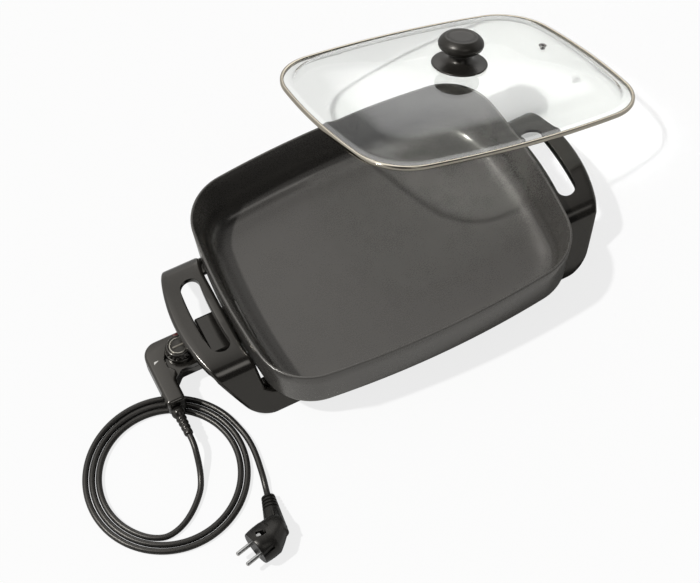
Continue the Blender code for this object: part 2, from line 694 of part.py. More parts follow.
def build_handle(name, side):
    """One bridge-shaped handle: a slotted grip plate that bends down into two legs."""
    half, bend_z = handle_stations()
    rings = [handle_section(y, z, turn, bend_z, side, -1) for y, z, turn in reversed(half[1:])]
    rings += [handle_section(y, z, turn, bend_z, side, 1) for y, z, turn in half]
    handle = loft(name, rings, "phenolic")
    underside = HANDLE_TOP - HANDLE_THICKNESS
    slot = [slot_ring(HANDLE_TOP + OVERRUN, SLOT_CHAMFER + OVERRUN, side),
            slot_ring(HANDLE_TOP - SLOT_CHAMFER, 0, side),
            slot_ring(underside + SLOT_CHAMFER, 0, side),
            slot_ring(underside - OVERRUN, SLOT_CHAMFER + OVERRUN, side)]
    combine(handle, loft(f"{name}_slot", slot), "DIFFERENCE")
    ear_top = PAN_UNDERSIDE - LUG_HEIGHT - SEAT_GAP
    ear_bottom = ear_top - EAR_THICKNESS
    for mirror, end in ((-1, "front"), (1, "rear")):
        centre_y = mirror * LUG_Y
        low = (min(side * (LUG_X - EAR_REACH), side * HANDLE_INNER), centre_y - EAR_HALF_WIDTH, ear_bottom)
        high = (max(side * (LUG_X - EAR_REACH), side * HANDLE_INNER), centre_y + EAR_HALF_WIDTH, ear_top)
        combine(handle, box(f"{name}_ear_{end}", low, high), "UNION")
        combine(handle, rod(f"{name}_ear_hole_{end}", SCREW_RADIUS + SEAT_GAP,
                            (side * LUG_X, centre_y, ear_top + OVERRUN),
                            (side * LUG_X, centre_y, ear_bottom - OVERRUN)), "DIFFERENCE")
        build_handle_screw(f"{name}_screw_{end}", side * LUG_X, centre_y, ear_bottom)


def build_handle_screw(name, x, y, seat_z):
    """Pan-head screw driven up from below, with its driver slot."""
    head = SCREW_HEAD_HEIGHT
    shank = EAR_THICKNESS + LUG_HEIGHT + SEAT_GAP
    profile = [(0, head), (SCREW_HEAD_RADIUS * 0.7, head), (SCREW_HEAD_RADIUS, head * 0.6),
               (SCREW_HEAD_RADIUS, 0),
               (SCREW_RADIUS, 0), (SCREW_RADIUS, -shank), (0, -shank)]
    screw = turned(name, profile, "steel", base=(x, y, seat_z - SEAT_GAP), axis=(0, 0, -1), steps=SMALL_STEPS)
    bottom = seat_z - SEAT_GAP - head
    combine(screw, box(f"{name}_drive", (x - SCREW_HEAD_RADIUS * 2, y - SLOT_CUT_WIDTH / 2, bottom - OVERRUN),
                       (x + SCREW_HEAD_RADIUS * 2, y + SLOT_CUT_WIDTH / 2, bottom + SLOT_CUT_DEPTH)),
                       "DIFFERENCE")


def lid_ring(inset, z):
    """Lid outline moved in by an inset; past its corner radius the corners stay round."""
    half_length = LID_HALF_LENGTH - inset
    half_width = LID_HALF_WIDTH - inset
    corner = max(LID_CORNER - inset, half_width * 0.45)
    ease = half_width / LID_HALF_WIDTH
    shape = outline(half_length, half_width, corner, LID_BOW_LONG * ease, LID_BOW_SHORT * ease)
    return [(x, y, z) for x, y in shape]


def dome_points(lift):
    """(inset, z) points of one face of the glass, from inside the band to the crown."""
    run = LID_HALF_WIDTH - DOME_FLAT_RADIUS
    start = BAND_LIP + RUN_GAP
    return [(start + (run - start) * share, lift + DOME_RISE * rise) for share, rise in DOME_SHARES]


def glass_top(inset):
    """Height of the glass's upper face at an inset from the lid's edge."""
    points = [(0, GLASS_THICKNESS / 2)] + dome_points(GLASS_THICKNESS / 2)
    points.append((LID_HALF_WIDTH - DOME_FLAT_RADIUS, GLASS_THICKNESS / 2 + DOME_RISE))
    for (first, low), (second, high) in zip(points, points[1:]):
        if inset <= second:
            return low + (high - low) * (inset - first) / (second - first)
    return points[-1][1]


def lid_matrix():
    """Leaning place of the lid: its lowest corner stands on the table."""
    turn = Matrix.Rotation(LID_TILT, 4, Vector((-math.sin(LID_LEAN_AZIMUTH), math.cos(LID_LEAN_AZIMUTH), 0)))
    turn = turn @ Matrix.Rotation(LID_SPIN, 4, "Z")
    lowest = min((turn @ Vector(point)).z for point in lid_ring(0, -BAND_HALF_HEIGHT))
    centre = Vector((PAN_HALF_LENGTH - LID_CENTRE_BACK_X, PAN_HALF_WIDTH - LID_CENTRE_BACK_Y,
                     TABLE_Z + SEAT_GAP - lowest))
    return Matrix.Translation(centre) @ turn


def build_lid():
    lean = empty("lid_lean", lid_matrix())
    edge = BAND_WALL + SEAT_GAP
    half = GLASS_THICKNESS / 2
    crown_inset = LID_HALF_WIDTH - DOME_FLAT_RADIUS
    upper = [(edge, half), (BAND_LIP + RUN_GAP, half)] + dome_points(half) + [(crown_inset, half + DOME_RISE)]
    lower = [(edge, -half),
             (BAND_LIP + RUN_GAP, -half)] + dome_points(-half) + [(crown_inset, DOME_RISE - half)]
    rings = [lid_ring(inset, z) for inset, z in reversed(lower)] + [lid_ring(inset, z) for inset, z in upper]
    glass = loft("lid_glass", rings, "glass", lean)
    crown = half + DOME_RISE
    combine(glass, rod("glass_hole", GLASS_HOLE, (0, 0, -OVERRUN), (0, 0, crown + OVERRUN), parent=lean),
            "DIFFERENCE")
    combine(glass, rod("vent_hole", VENT_HOLE, (VENT_X, 0, -OVERRUN), (VENT_X, 0, crown + OVERRUN),
                       parent=lean),
            "DIFFERENCE")
    high = BAND_HALF_HEIGHT
    channel = [(0, -high), (0, high), (BAND_LIP, high), (BAND_LIP, high - BAND_WALL),
               (BAND_WALL, high - BAND_WALL),
               (BAND_WALL, BAND_WALL - high), (BAND_LIP, BAND_WALL - high), (BAND_LIP, -high)]
    loft("lid_band", [lid_ring(inset, z) for inset, z in channel], "steel", lean, ring_shaped=True)
    build_eyelet(lean)
    build_knob(lean, crown)


def build_eyelet(lean):
    """Rolled steel eyelet through the glass at the steam vent."""
    top = glass_top(LID_HALF_LENGTH - VENT_X + EYELET_FLANGE) + SEAT_GAP
    flange = EYELET_FLANGE_THICKNESS
    below = top - GLASS_THICKNESS - GLASS_THICKNESS / 2
    profile = [(EYELET_FLANGE, top + flange / 2), (EYELET_FLANGE, top), (EYELET_TUBE, top),
               (EYELET_TUBE, below),
               (EYELET_BORE, below), (EYELET_BORE, top + flange), (EYELET_FLANGE - flange, top + flange)]
    turned("vent_eyelet", profile, "steel", lean, base=(VENT_X, 0, 0), steps=SMALL_STEPS)


def build_knob(lean, crown):
    """Collar, knob, screw and washer on the lid's middle."""
    base = crown + SEAT_GAP
    neck = base + COLLAR_HEIGHT
    shank = LID_SCREW_RADIUS + SEAT_GAP
    collar = [(NECK_RADIUS, neck), (NECK_RADIUS + COLLAR_EDGE, neck - COLLAR_EDGE * 2),
              (COLLAR_RADIUS * 0.62, base + COLLAR_EDGE * 1.9),
              (COLLAR_RADIUS - COLLAR_EDGE / 2, base + COLLAR_EDGE),
              (COLLAR_RADIUS, base + COLLAR_EDGE / 2), (COLLAR_RADIUS - COLLAR_EDGE / 4, base), (shank, base),
              (shank, neck)]
    turned("knob_collar", collar, "knob", lean)
    foot = neck + SEAT_GAP
    top = foot + KNOB_HEIGHT
    thread_end = foot + LID_SCREW_REACH
    knob = [(0, top - KNOB_DISH), (KNOB_RADIUS * 0.55, top - KNOB_DISH),
            (KNOB_RADIUS * 0.66, top - KNOB_DISH / 4),
            (KNOB_RADIUS * 0.74, top - KNOB_DISH / 2), (KNOB_RADIUS * 0.88, top - KNOB_HEIGHT * 0.14),
            (KNOB_RADIUS * 0.97, top - KNOB_HEIGHT * 0.27), (KNOB_RADIUS, top - KNOB_HEIGHT * 0.42),
            (KNOB_RADIUS * 0.95, top - KNOB_HEIGHT * 0.58), (KNOB_RADIUS * 0.8, top - KNOB_HEIGHT * 0.72),
            (KNOB_RADIUS * 0.58, top - KNOB_HEIGHT * 0.83), (NECK_RADIUS, top - KNOB_HEIGHT * 0.93),
            (NECK_RADIUS, foot), (shank, foot), (shank, thread_end), (0, thread_end)]
    turned("lid_knob", knob, "knob", lean)
    inside = crown - GLASS_THICKNESS - SEAT_GAP
    washer = [(WASHER_RADIUS, inside), (WASHER_RADIUS, inside - WASHER_THICKNESS),
              (shank, inside - WASHER_THICKNESS),
              (shank, inside)]
    turned("lid_washer", washer, "rubber", lean, steps=SMALL_STEPS)
    head = inside - WASHER_THICKNESS - SEAT_GAP
    screw = [(0, thread_end - SEAT_GAP), (LID_SCREW_RADIUS, thread_end - SEAT_GAP), (LID_SCREW_RADIUS, head),
             (LID_SCREW_HEAD, head), (LID_SCREW_HEAD, head - LID_SCREW_HEAD_HEIGHT / 2),
             (LID_SCREW_HEAD * 0.7, head - LID_SCREW_HEAD_HEIGHT), (0, head - LID_SCREW_HEAD_HEIGHT)]
    turned("lid_screw", screw, "steel", lean, steps=SMALL_STEPS)


def control_outline(inset=0.0):
    """Plan of the L-shaped control, optionally moved in by an inset."""
    grip_inner_x = CONTROL_OUTER_X + GRIP_WIDTH
    near_y, far_y = SOCKET_Y - ARM_HALF_WIDTH, SOCKET_Y + ARM_HALF_WIDTH
    points = [
        (ARM_FRONT_X - inset, far_y - inset), (CONTROL_OUTER_X + inset, far_y - inset),
        (CONTROL_OUTER_X + inset, GRIP_END_Y + inset),
        (grip_inner_x - inset, GRIP_END_Y + inset), (grip_inner_x - inset, near_y - INNER_ELBOW_STEP),
        (grip_inner_x + INNER_ELBOW_STEP - inset, near_y + inset), (ARM_FRONT_X - inset, near_y + inset)]
    corner = CONTROL_CORNER
    return rounded_polygon(points, [corner / 3, ELBOW_ROUND - inset, corner / 2, corner / 2, corner, corner,
                                    corner / 3])


def shell(name, low, high, round_low, round_high, parent):
    """One half of the control's casing, its outer face rounded and its parting edge eased."""
    rings = [[(x, y, z) for x, y in control_outline(inset)] for inset, z in
             ((round_low, low), (0, low + round_low), (0, high - round_high), (round_high, high))]
    return loft(name, rings, "phenolic", parent)


def build_control():
    """Plug-in thermostat: casing, works, probe, contact sleeves, dial, lens and screws."""
    slide = empty("control_slide", Matrix.Identity(4))
    parting = HEATER_Z
    lower = shell("control_lower_shell", CONTROL_BOTTOM, parting - SEAT_GAP / 2, TOP_ROUND, PARTING_ROUND,
                  slide)
    upper = shell("control_upper_shell", parting + SEAT_GAP / 2, CONTROL_TOP, PARTING_ROUND, TOP_ROUND, slide)
    near_y, far_y = SOCKET_Y - ARM_HALF_WIDTH, SOCKET_Y + ARM_HALF_WIDTH
    floor = CONTROL_BOTTOM + CONTROL_WALL
    roof = CONTROL_TOP - ARM_DROP - ARM_ROOF
    room = ((CAVITY_BACK_X, near_y + CONTROL_WALL, floor), (CAVITY_FRONT_X, far_y - CONTROL_WALL, roof))
    bridge = ((CONTROL_OUTER_X + BRIDGE_WALL, near_y + CONTROL_WALL * 1.6, floor + RUN_GAP / 2),
              (CAVITY_BACK_X + RUN_GAP, SOCKET_Y + BRIDGE_REACH, roof - RUN_GAP / 2))
    inner_x = CONTROL_OUTER_X + GRIP_WIDTH
    grip_room = ((CONTROL_OUTER_X + GRIP_WALL, GRIP_END_Y + RELIEF_PLUG_LENGTH + GRIP_WALL, floor + RUN_GAP),
                 (inner_x - GRIP_WALL, near_y + CONTROL_WALL * 2, roof - RUN_GAP))
    for half in (lower, upper):
        hollow = box(f"{half.name}_room", *room, parent=slide)
        combine(hollow, box(f"{half.name}_bridge", *bridge, parent=slide), "UNION")
        combine(hollow, box(f"{half.name}_grip_room", *grip_room, parent=slide), "UNION")
        for number, (x, y) in enumerate(CONTROL_SCREW_PLACES, start=1):
            combine(hollow, rod(f"{half.name}_post_{number}", POST_RADIUS, (x, y, floor - OVERRUN),
                                (x, y, roof + OVERRUN), parent=slide), "DIFFERENCE")
        combine(half, hollow, "DIFFERENCE")
    step_x, front_x = DIAL_X - STEP_BACK, ARM_FRONT_X + OVERRUN
    low_y = near_y - INNER_ELBOW_STEP - OVERRUN
    plan = [(step_x, SOCKET_Y + STEP_REAR), (step_x, SOCKET_Y - STEP_FRONT),
            (step_x + STEP_CORNER, SOCKET_Y - STEP_FRONT - STEP_CORNER), (step_x + STEP_CORNER, low_y),
            (front_x, low_y), (front_x, SOCKET_Y + STEP_REAR)]
    step = loft("arm_step",
                [[(x, y, z) for x, y in plan] for z in (CONTROL_TOP - ARM_DROP, CONTROL_TOP + OVERRUN)],
                parent=slide)
    combine(step, rod("turret", TURRET_RADIUS, (DIAL_X, SOCKET_Y, CONTROL_TOP - ARM_DROP - OVERRUN),
                      (DIAL_X, SOCKET_Y, CONTROL_TOP + OVERRUN * 2), parent=slide, steps=ROUND_STEPS),
            "DIFFERENCE")
    combine(upper, step, "DIFFERENCE")
    tips = ARM_FRONT_X + OVERRUN
    bores = [(SOCKET_Y, PROBE_RADIUS + SEAT_GAP)] + [(y, SLEEVE_RADIUS + SEAT_GAP) for y in terminal_rows()]
    for y, radius in bores:
        for half in (lower, upper):
            combine(half, rod(f"{half.name}_bore_{y:.3f}", radius, (tips, y, HEATER_Z),
                              (CAVITY_FRONT_X - OVERRUN, y, HEATER_Z), parent=slide), "DIFFERENCE")
    for half in (lower, upper):
        combine(half, rod(f"{half.name}_gland", RELIEF_PLUG_RADIUS + SEAT_GAP,
                          (RELIEF_X, GRIP_END_Y - OVERRUN, RELIEF_Z),
                          (RELIEF_X, GRIP_END_Y + RELIEF_PLUG_LENGTH + SEAT_GAP, RELIEF_Z), parent=slide),
                "DIFFERENCE")
    combine(upper, rod("dial_bore", SHAFT_RADIUS + SEAT_GAP, (DIAL_X, SOCKET_Y, parting),
                       (DIAL_X, SOCKET_Y, CONTROL_TOP + OVERRUN), parent=slide), "DIFFERENCE")
    lens_low = (LENS_X - LENS_HALF_LENGTH, LENS_Y - LENS_HALF_WIDTH, CONTROL_TOP - CONTROL_WALL - SEAT_GAP)
    lens_high = (LENS_X + LENS_HALF_LENGTH, LENS_Y + LENS_HALF_WIDTH, CONTROL_TOP + LENS_PROUD)
    grow = Vector((SEAT_GAP, SEAT_GAP, OVERRUN))
    combine(upper, box("lens_window", Vector(lens_low) - grow, Vector(lens_high) + grow, parent=slide),
            "DIFFERENCE")
    box("indicator_lens", lens_low, lens_high, "lens", slide, rounded=LENS_PROUD / 2)
    build_control_screws(lower, upper, slide, parting)
    build_probe(slide)
    build_works(slide, floor)
    build_dial(slide)


def build_control_screws(lower, upper, slide, parting):
    """Two screws up through the lower shell's posts into the upper one's."""
    reach = CONTROL_TOP - CONTROL_WALL * 2
    for number, (x, y) in enumerate(CONTROL_SCREW_PLACES, start=1):
        hole = CONTROL_SCREW_RADIUS + SEAT_GAP
        combine(lower, rod(f"lower_thread_{number}", hole, (x, y, CONTROL_BOTTOM - OVERRUN),
                           (x, y, parting + OVERRUN),
                           parent=slide), "DIFFERENCE")
        combine(upper, rod(f"upper_thread_{number}", hole, (x, y, parting - OVERRUN),
                           (x, y, reach + SEAT_GAP),
                           parent=slide), "DIFFERENCE")
        recess = CONTROL_SCREW_HEAD + SEAT_GAP
        seat = CONTROL_BOTTOM + CONTROL_SCREW_HEAD_HEIGHT
        combine(lower, rod(f"lower_recess_{number}", recess, (x, y, CONTROL_BOTTOM - OVERRUN), (x, y, seat),
                           parent=slide), "DIFFERENCE")
        length = reach - seat
        profile = [(0, CONTROL_SCREW_HEAD_HEIGHT - SEAT_GAP),
                   (CONTROL_SCREW_HEAD, CONTROL_SCREW_HEAD_HEIGHT - SEAT_GAP),
                   (CONTROL_SCREW_HEAD, 0), (CONTROL_SCREW_RADIUS, 0), (CONTROL_SCREW_RADIUS, -length),
                   (0, -length)]
        turned(f"control_screw_{number}", profile, "steel", slide, base=(x, y, seat - SEAT_GAP),
               axis=(0, 0, -1), steps=SMALL_STEPS)


def build_probe(slide):
    """Heat probe and the two sleeves that slip over the terminal pins."""
    back = CAVITY_FRONT_X - SEAT_GAP
    length = PROBE_TIP_X - back
    probe = [(0, length), (PROBE_RADIUS * 0.6, length), (PROBE_RADIUS, length - PROBE_RADIUS * 0.6),
             (PROBE_RADIUS, 0), (PROBE_FLANGE_RADIUS, 0), (PROBE_FLANGE_RADIUS, -PROBE_FLANGE_LENGTH),
             (0, -PROBE_FLANGE_LENGTH)]
    turned("heat_probe", probe, "steel", slide, base=(back, SOCKET_Y, HEATER_Z), axis=(1, 0, 0),
           steps=SMALL_STEPS)
    bore = TERMINAL_RADIUS + SEAT_GAP
    for side, y in zip(("front", "rear"), terminal_rows()):
        sleeve = [(SLEEVE_RADIUS, 0), (SLEEVE_RADIUS, -SLEEVE_LENGTH), (bore, -SLEEVE_LENGTH), (bore, 0)]
        turned(f"contact_sleeve_{side}", sleeve, "copper", slide, base=(ARM_FRONT_X, y, HEATER_Z),
               axis=(1, 0, 0), steps=SMALL_STEPS)


def build_works(slide, floor):
    """Ceramic switch base, bimetal strip and terminal block in the casing's room."""
    half_x, half_y, half_z = BASE_HALF
    seat = floor + SEAT_GAP
    box("thermostat_base", (BASE_X - half_x, SOCKET_Y - half_y, seat),
        (BASE_X + half_x, SOCKET_Y + half_y, seat + half_z * 2),
        "ceramic", slide)
    strip_x, strip_y, strip_z = BIMETAL_HALF
    strip = seat + half_z * 2 + SEAT_GAP
    box("bimetal_strip", (BASE_X - strip_x, SOCKET_Y - strip_y, strip),
        (BASE_X + strip_x, SOCKET_Y + strip_y, strip + strip_z * 2),
        "copper", slide)
    block_x, block_y, block_z = TERMINAL_BLOCK_HALF
    seat += RUN_GAP
    box("terminal_block", (TERMINAL_BLOCK_X - block_x, SOCKET_Y - block_y, seat),
        (TERMINAL_BLOCK_X + block_x, SOCKET_Y + block_y, seat + block_z * 2), "ceramic", slide)


def build_dial(slide):
    """Fluted dial with its pointer bar, bright ring and shaft, on the dial's own axis."""
    axis = empty("dial_axis", Matrix.Translation((DIAL_X, SOCKET_Y, CONTROL_TOP)), slide)
    count = DIAL_FLUTES * 4
    rings = []
    crown = DIAL_CROWN_RADIUS
    for radius, height, flute in ((DIAL_RADIUS, SEAT_GAP, 1), (DIAL_RADIUS, DIAL_SKIRT_HEIGHT, 1),
                                  (DIAL_RADIUS - RING_HEIGHT, DIAL_SKIRT_HEIGHT + RING_HEIGHT, 0),
                                  (crown + RING_HEIGHT, DIAL_SKIRT_HEIGHT + RING_HEIGHT * 2, 0),
                                  (crown, DIAL_HEIGHT - RING_HEIGHT, 0),
                                  (crown - RING_HEIGHT / 2, DIAL_HEIGHT, 0)):
        ring = []
        for step in range(count):
            turn = 2 * math.pi * step / count
            reach = radius - flute * DIAL_FLUTE_DEPTH * (1 + math.cos(DIAL_FLUTES * turn))
            ring.append((reach * math.cos(turn), reach * math.sin(turn), height))
        rings.append(ring)
    dial = loft("control_dial", rings, "phenolic", axis)
    groove = turned("ring_groove", [(RING_OUTER + SEAT_GAP - RING_HEIGHT, DIAL_HEIGHT + OVERRUN),
                                    (RING_OUTER + SEAT_GAP - RING_HEIGHT, DIAL_HEIGHT - RING_HEIGHT),
                                    (RING_INNER - SEAT_GAP, DIAL_HEIGHT - RING_HEIGHT),
                                    (RING_INNER - SEAT_GAP, DIAL_HEIGHT + OVERRUN)], parent=axis)
    combine(dial, groove, "DIFFERENCE")
    combine(dial, box("dial_bar", (-DIAL_BAR_LENGTH, -DIAL_BAR_WIDTH / 2, DIAL_HEIGHT - RING_HEIGHT),
                      (DIAL_BAR_LENGTH, DIAL_BAR_WIDTH / 2, DIAL_HEIGHT + DIAL_BAR_HEIGHT), parent=axis),
            "UNION")
    combine(dial, rod("shaft_seat", SHAFT_RADIUS + SEAT_GAP, (0, 0, -OVERRUN), (0, 0, DIAL_HEIGHT / 2),
                      parent=axis),
            "DIFFERENCE")
    outer = RING_OUTER - RING_HEIGHT
    ring = [(outer, DIAL_HEIGHT + RING_HEIGHT / 2), (outer, DIAL_HEIGHT - RING_HEIGHT + SEAT_GAP),
            (RING_INNER, DIAL_HEIGHT - RING_HEIGHT + SEAT_GAP), (RING_INNER, DIAL_HEIGHT + RING_HEIGHT / 2)]
    turned("dial_ring", ring, "steel", axis)
    rod("dial_shaft", SHAFT_RADIUS, (0, 0, -SHAFT_DEPTH), (0, 0, DIAL_HEIGHT / 2 - SEAT_GAP), "steel", axis)


def smooth_route(points, spacing):
    """Points on one smooth curve through hand-chosen ones, about a spacing apart."""
    places = [Vector(point) for point in points]
    padded = [places[0] * 2 - places[1]] + places + [places[-1] * 2 - places[-2]]
    made = []
    for before, start, end, after in zip(padded, padded[1:], padded[2:], padded[3:]):
        steps = max(1, round((end - start).length / spacing))
        for step in range(steps):
            t = step / steps
            made.append(0.5 * ((2 * start) + (end - before) * t + (2 * before - 5 * start + 4 * end - after)
                               * t ** 2
                               + (3 * start - before - 3 * end + after) * t ** 3))
    return made + [places[-1]]


def coil_point(step):
    """Centre of the cord at one step of the flat coil, wound clockwise from the inside out."""
    turns = step / COIL_TURN_POINTS
    angle = COIL_START - 2 * math.pi * turns
    radius = COIL_START_RADIUS + COIL_PITCH * turns
    return Vector((COIL_CENTRE[0] + radius * math.cos(angle), COIL_CENTRE[1] + radius * math.sin(angle),
                   CORD_Z))


def build_cord():
    """Strain relief, lead, flat coil and tail of the mains cord."""
    slide = bpy.data.objects["control_slide"]
    build_relief(slide)
    points = [coil_point(step) for step in range(COIL_STEPS + 1)]
    least = min((first - second).length for index, first in enumerate(points)
                for second in points[index + COIL_TURN_POINTS // 2:]) - CORD_DIAMETER
    print(f"cord coil: least gap to itself {least * 1000:.2f} mm")
    into = (coil_point(-1) - points[0]).normalized()
    out = (points[-1] - points[-2]).normalized()
    coil = [points[0] + into * JOIN_LENGTH] + points + [points[-1] + out * JOIN_LENGTH]
    tube("cord_coil", coil, CORD_RADIUS, 1, "rubber", slide)
    away = JOIN_LENGTH / 2 + SEAT_GAP
    lead_start = Vector((RELIEF_X, GRIP_END_Y - SEAT_GAP - RELIEF_LENGTH - SEAT_GAP, RELIEF_Z))
    lead = [lead_start] + [Vector((RELIEF_X + x, y, TABLE_Z + z)) for x, y,
                           z in LEAD_ROUTE] + [coil[0] + into * away]
    tube("cord_lead", smooth_route(lead, CORD_DIAMETER * 2) + [coil[0] + into * SEAT_GAP], CORD_RADIUS, 2,
         "rubber",
         slide)
    to_plug = plug_matrix()
    direction = neck_direction(to_plug)
    entry = to_plug @ Vector((*NECK_TIP, 0))
    tail = [coil[-1] + out * away] + [Vector((RELIEF_X + x, y, TABLE_Z + z)) for x, y, z in TAIL_ROUTE]
    tail.append(entry + direction * away)
    tube("cord_tail", [coil[-1] + out * SEAT_GAP] + smooth_route(tail, CORD_DIAMETER * 2)
         + [entry + direction * SEAT_GAP], CORD_RADIUS, 2, "rubber", slide)


def build_relief(slide):
    """Ribbed relief whose root plugs into the casing."""
    profile = [(0, RELIEF_PLUG_LENGTH), (RELIEF_PLUG_RADIUS, RELIEF_PLUG_LENGTH),
               (RELIEF_PLUG_RADIUS, -SEAT_GAP),
               (RELIEF_ROOT_RADIUS, -SEAT_GAP)]
    rib = RELIEF_LENGTH / (RELIEF_RIBS * 2 + 1)
    for number in range(RELIEF_RIBS * 2 + 1):
        radius = RELIEF_ROOT_RADIUS + (RELIEF_TIP_RADIUS
                                       - RELIEF_ROOT_RADIUS) * (number + 1) / (RELIEF_RIBS * 2 + 1)
        depth = RELIEF_GROOVE if number % 2 else 0
        profile += [(radius - depth, -SEAT_GAP - rib * (number + 0.2)),
                    (radius - depth, -SEAT_GAP - rib * (number + 0.8))]
    profile += [(RELIEF_TIP_RADIUS - RELIEF_GROOVE / 2, -SEAT_GAP - RELIEF_LENGTH),
                (0, -SEAT_GAP - RELIEF_LENGTH)]
    turned("strain_relief", profile, "rubber", slide, base=(RELIEF_X, GRIP_END_Y, RELIEF_Z), axis=(0, 1, 0),
           steps=SMALL_STEPS)


def plug_matrix():
    """Frame of the plug: +X along its pins, +Y across them, away from the cord."""
    centre = Vector((RELIEF_X + PLUG_FACE[0], PLUG_FACE[1], TABLE_Z + PLUG_FACE[2]))
    return Matrix.Translation(centre) @ Matrix.Rotation(PLUG_AZIMUTH, 4,
                                                        "Z") @ Matrix.Rotation(PLUG_ROLL, 4, "X")


def neck_direction(to_plug):
    run = Vector((NECK_TIP[0] - NECK_ROOT[0], NECK_TIP[1] - NECK_ROOT[1], 0)).normalized()
    return to_plug.to_3x3() @ run


def build_plug():
    """Angled two-pin plug with earth clips, on its own frame."""
    frame = empty("plug_frame", plug_matrix(), bpy.data.objects["control_slide"])
    rings = []
    for u, v, half_v, half_w in PLUG_SECTIONS:
        rings.append([(u, v + half_v * math.cos(turn), half_w * math.sin(turn))
                      for turn in (2 * math.pi * step / ROUND_STEPS for step in range(ROUND_STEPS))])
    body = loft("plug_body", rings, "plug", frame)
    combine(body, build_neck(frame), "UNION")
    for side, sign in (("top", 1), ("bottom", -1)):
        outer = sign * PLUG_FACE_RADIUS
        inner = sign * (PLUG_FACE_RADIUS - EARTH_DEPTH)
        low, high = min(outer * 2, inner), max(outer * 2, inner)
        combine(body, box(f"earth_slot_{side}", (-EARTH_LENGTH, -EARTH_WIDTH, low),
                          (OVERRUN, EARTH_WIDTH, high),
                          parent=frame), "DIFFERENCE")
        strip = (inner + sign * SEAT_GAP, inner + sign * (SEAT_GAP + EARTH_STRIP))
        box(f"earth_clip_{side}", (-EARTH_LENGTH + SEAT_GAP, -EARTH_WIDTH / 2, min(strip)),
            (0, EARTH_WIDTH / 2, max(strip)),
            "steel", frame)
    for number, v in enumerate((-PLUG_PIN_SPACING / 2, PLUG_PIN_SPACING / 2), start=1):
        combine(body, rod(f"pin_seat_{number}", PLUG_PIN_RADIUS + SEAT_GAP, (-PLUG_PIN_SEAT - SEAT_GAP, v, 0),
                          (OVERRUN, v, 0), parent=frame), "DIFFERENCE")
        length = PLUG_PIN_SEAT + PLUG_PIN_LENGTH
        tip = PLUG_PIN_RADIUS / 2
        pin = [(0, length), (tip, length), (PLUG_PIN_RADIUS, length - tip), (PLUG_PIN_RADIUS, 0), (0, 0)]
        turned(f"plug_pin_{number}", pin, "steel", frame, base=(-PLUG_PIN_SEAT, v, 0), axis=(1, 0, 0),
               steps=SMALL_STEPS)


def build_neck(frame):
    """Tapered, grooved neck that carries the cord into the plug."""
    root, tip = Vector((*NECK_ROOT, 0)), Vector((*NECK_TIP, 0))
    run = tip - root
    across = Vector((-run.y, run.x, 0)).normalized()
    first, last = NECK_GROOVE_SHARES
    shares = [(0, 0), (first, 0)]
    pitch = (last - first) / (NECK_GROOVES * 2)
    for number in range(NECK_GROOVES):
        start = first + pitch * (number * 2 + 0.6)
        shares += [(start, 0), (start + pitch * 0.2, 1), (start + pitch * 0.8, 1), (start + pitch, 0)]
    shares.append((1, 0))
    rings = []
    for share, groove in shares:
        half_v = NECK_ROOT_HALF[0] + (NECK_TIP_HALF[0]
                                      - NECK_ROOT_HALF[0]) * share - groove * NECK_GROOVE_DEPTH
        half_w = NECK_ROOT_HALF[1] + (NECK_TIP_HALF[1]
                                      - NECK_ROOT_HALF[1]) * share - groove * NECK_GROOVE_DEPTH
        centre = root + run * share
        rings.append([tuple(centre + across * half_v * math.cos(turn)
                            + Vector((0, 0, half_w * math.sin(turn))))
                      for turn in (2 * math.pi * step / SMALL_STEPS for step in range(SMALL_STEPS))])
    return loft("plug_neck", rings, parent=frame)


build_pan()
build_heater()
build_guard()
build_handle("handle_left", -1)
build_handle("handle_right", 1)
build_lid()
build_control()
build_cord()
build_plug()
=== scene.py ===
"""Looks of the electric skillet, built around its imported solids.

Metres, +Z up. The origin is the middle of the cooking surface and the table lies below it.
"""

import logging
import math
from collections.abc import Iterable, Sequence
from dataclasses import dataclass, field
from enum import Enum

import bmesh
import bpy
from mathutils import Matrix, Vector


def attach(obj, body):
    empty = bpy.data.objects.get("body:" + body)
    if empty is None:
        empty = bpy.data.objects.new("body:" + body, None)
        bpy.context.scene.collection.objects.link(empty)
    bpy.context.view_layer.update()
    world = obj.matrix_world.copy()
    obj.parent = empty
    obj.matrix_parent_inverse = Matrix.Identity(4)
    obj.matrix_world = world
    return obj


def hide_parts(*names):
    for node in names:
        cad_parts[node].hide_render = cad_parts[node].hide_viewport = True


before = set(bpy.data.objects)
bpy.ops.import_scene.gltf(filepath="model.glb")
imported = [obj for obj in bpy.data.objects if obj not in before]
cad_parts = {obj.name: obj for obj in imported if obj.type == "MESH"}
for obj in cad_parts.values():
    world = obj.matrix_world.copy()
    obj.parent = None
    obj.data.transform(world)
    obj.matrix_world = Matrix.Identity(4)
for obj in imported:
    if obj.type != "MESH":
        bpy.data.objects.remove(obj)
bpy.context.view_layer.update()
LOG = logging.getLogger("skillet")

Point = tuple[float, float, float]
Flat = tuple[float, float]
Ring = list[Point]

GAP = 0.0003
OVERRUN = 0.004
TABLE_Z = -0.034
CIRCLE = 64


class Body(Enum):
    """The rigid bodies that pieces ride on."""

    PAN = "pan"
    LID = "lid"
    CONTROL = "control"
    DIAL = "dial"


class Slot(Enum):
    """The record's material slots."""

    PAN = "nonstick_pan"
    STEEL = "steel"
    CERAMIC = "ceramic"
    BLACK = "black_plastic"
    GLASS = "lid_glass"
    KNOB = "knob_plastic"
    RUBBER = "cord_rubber"
    PLUG = "plug_plastic"
    BRASS = "brass"
    LENS = "red_lens"


class Texture(Enum):
    """Which shared surface effect a finish uses."""

    GRAIN = "grain"
    BRUSHED = "brushed"


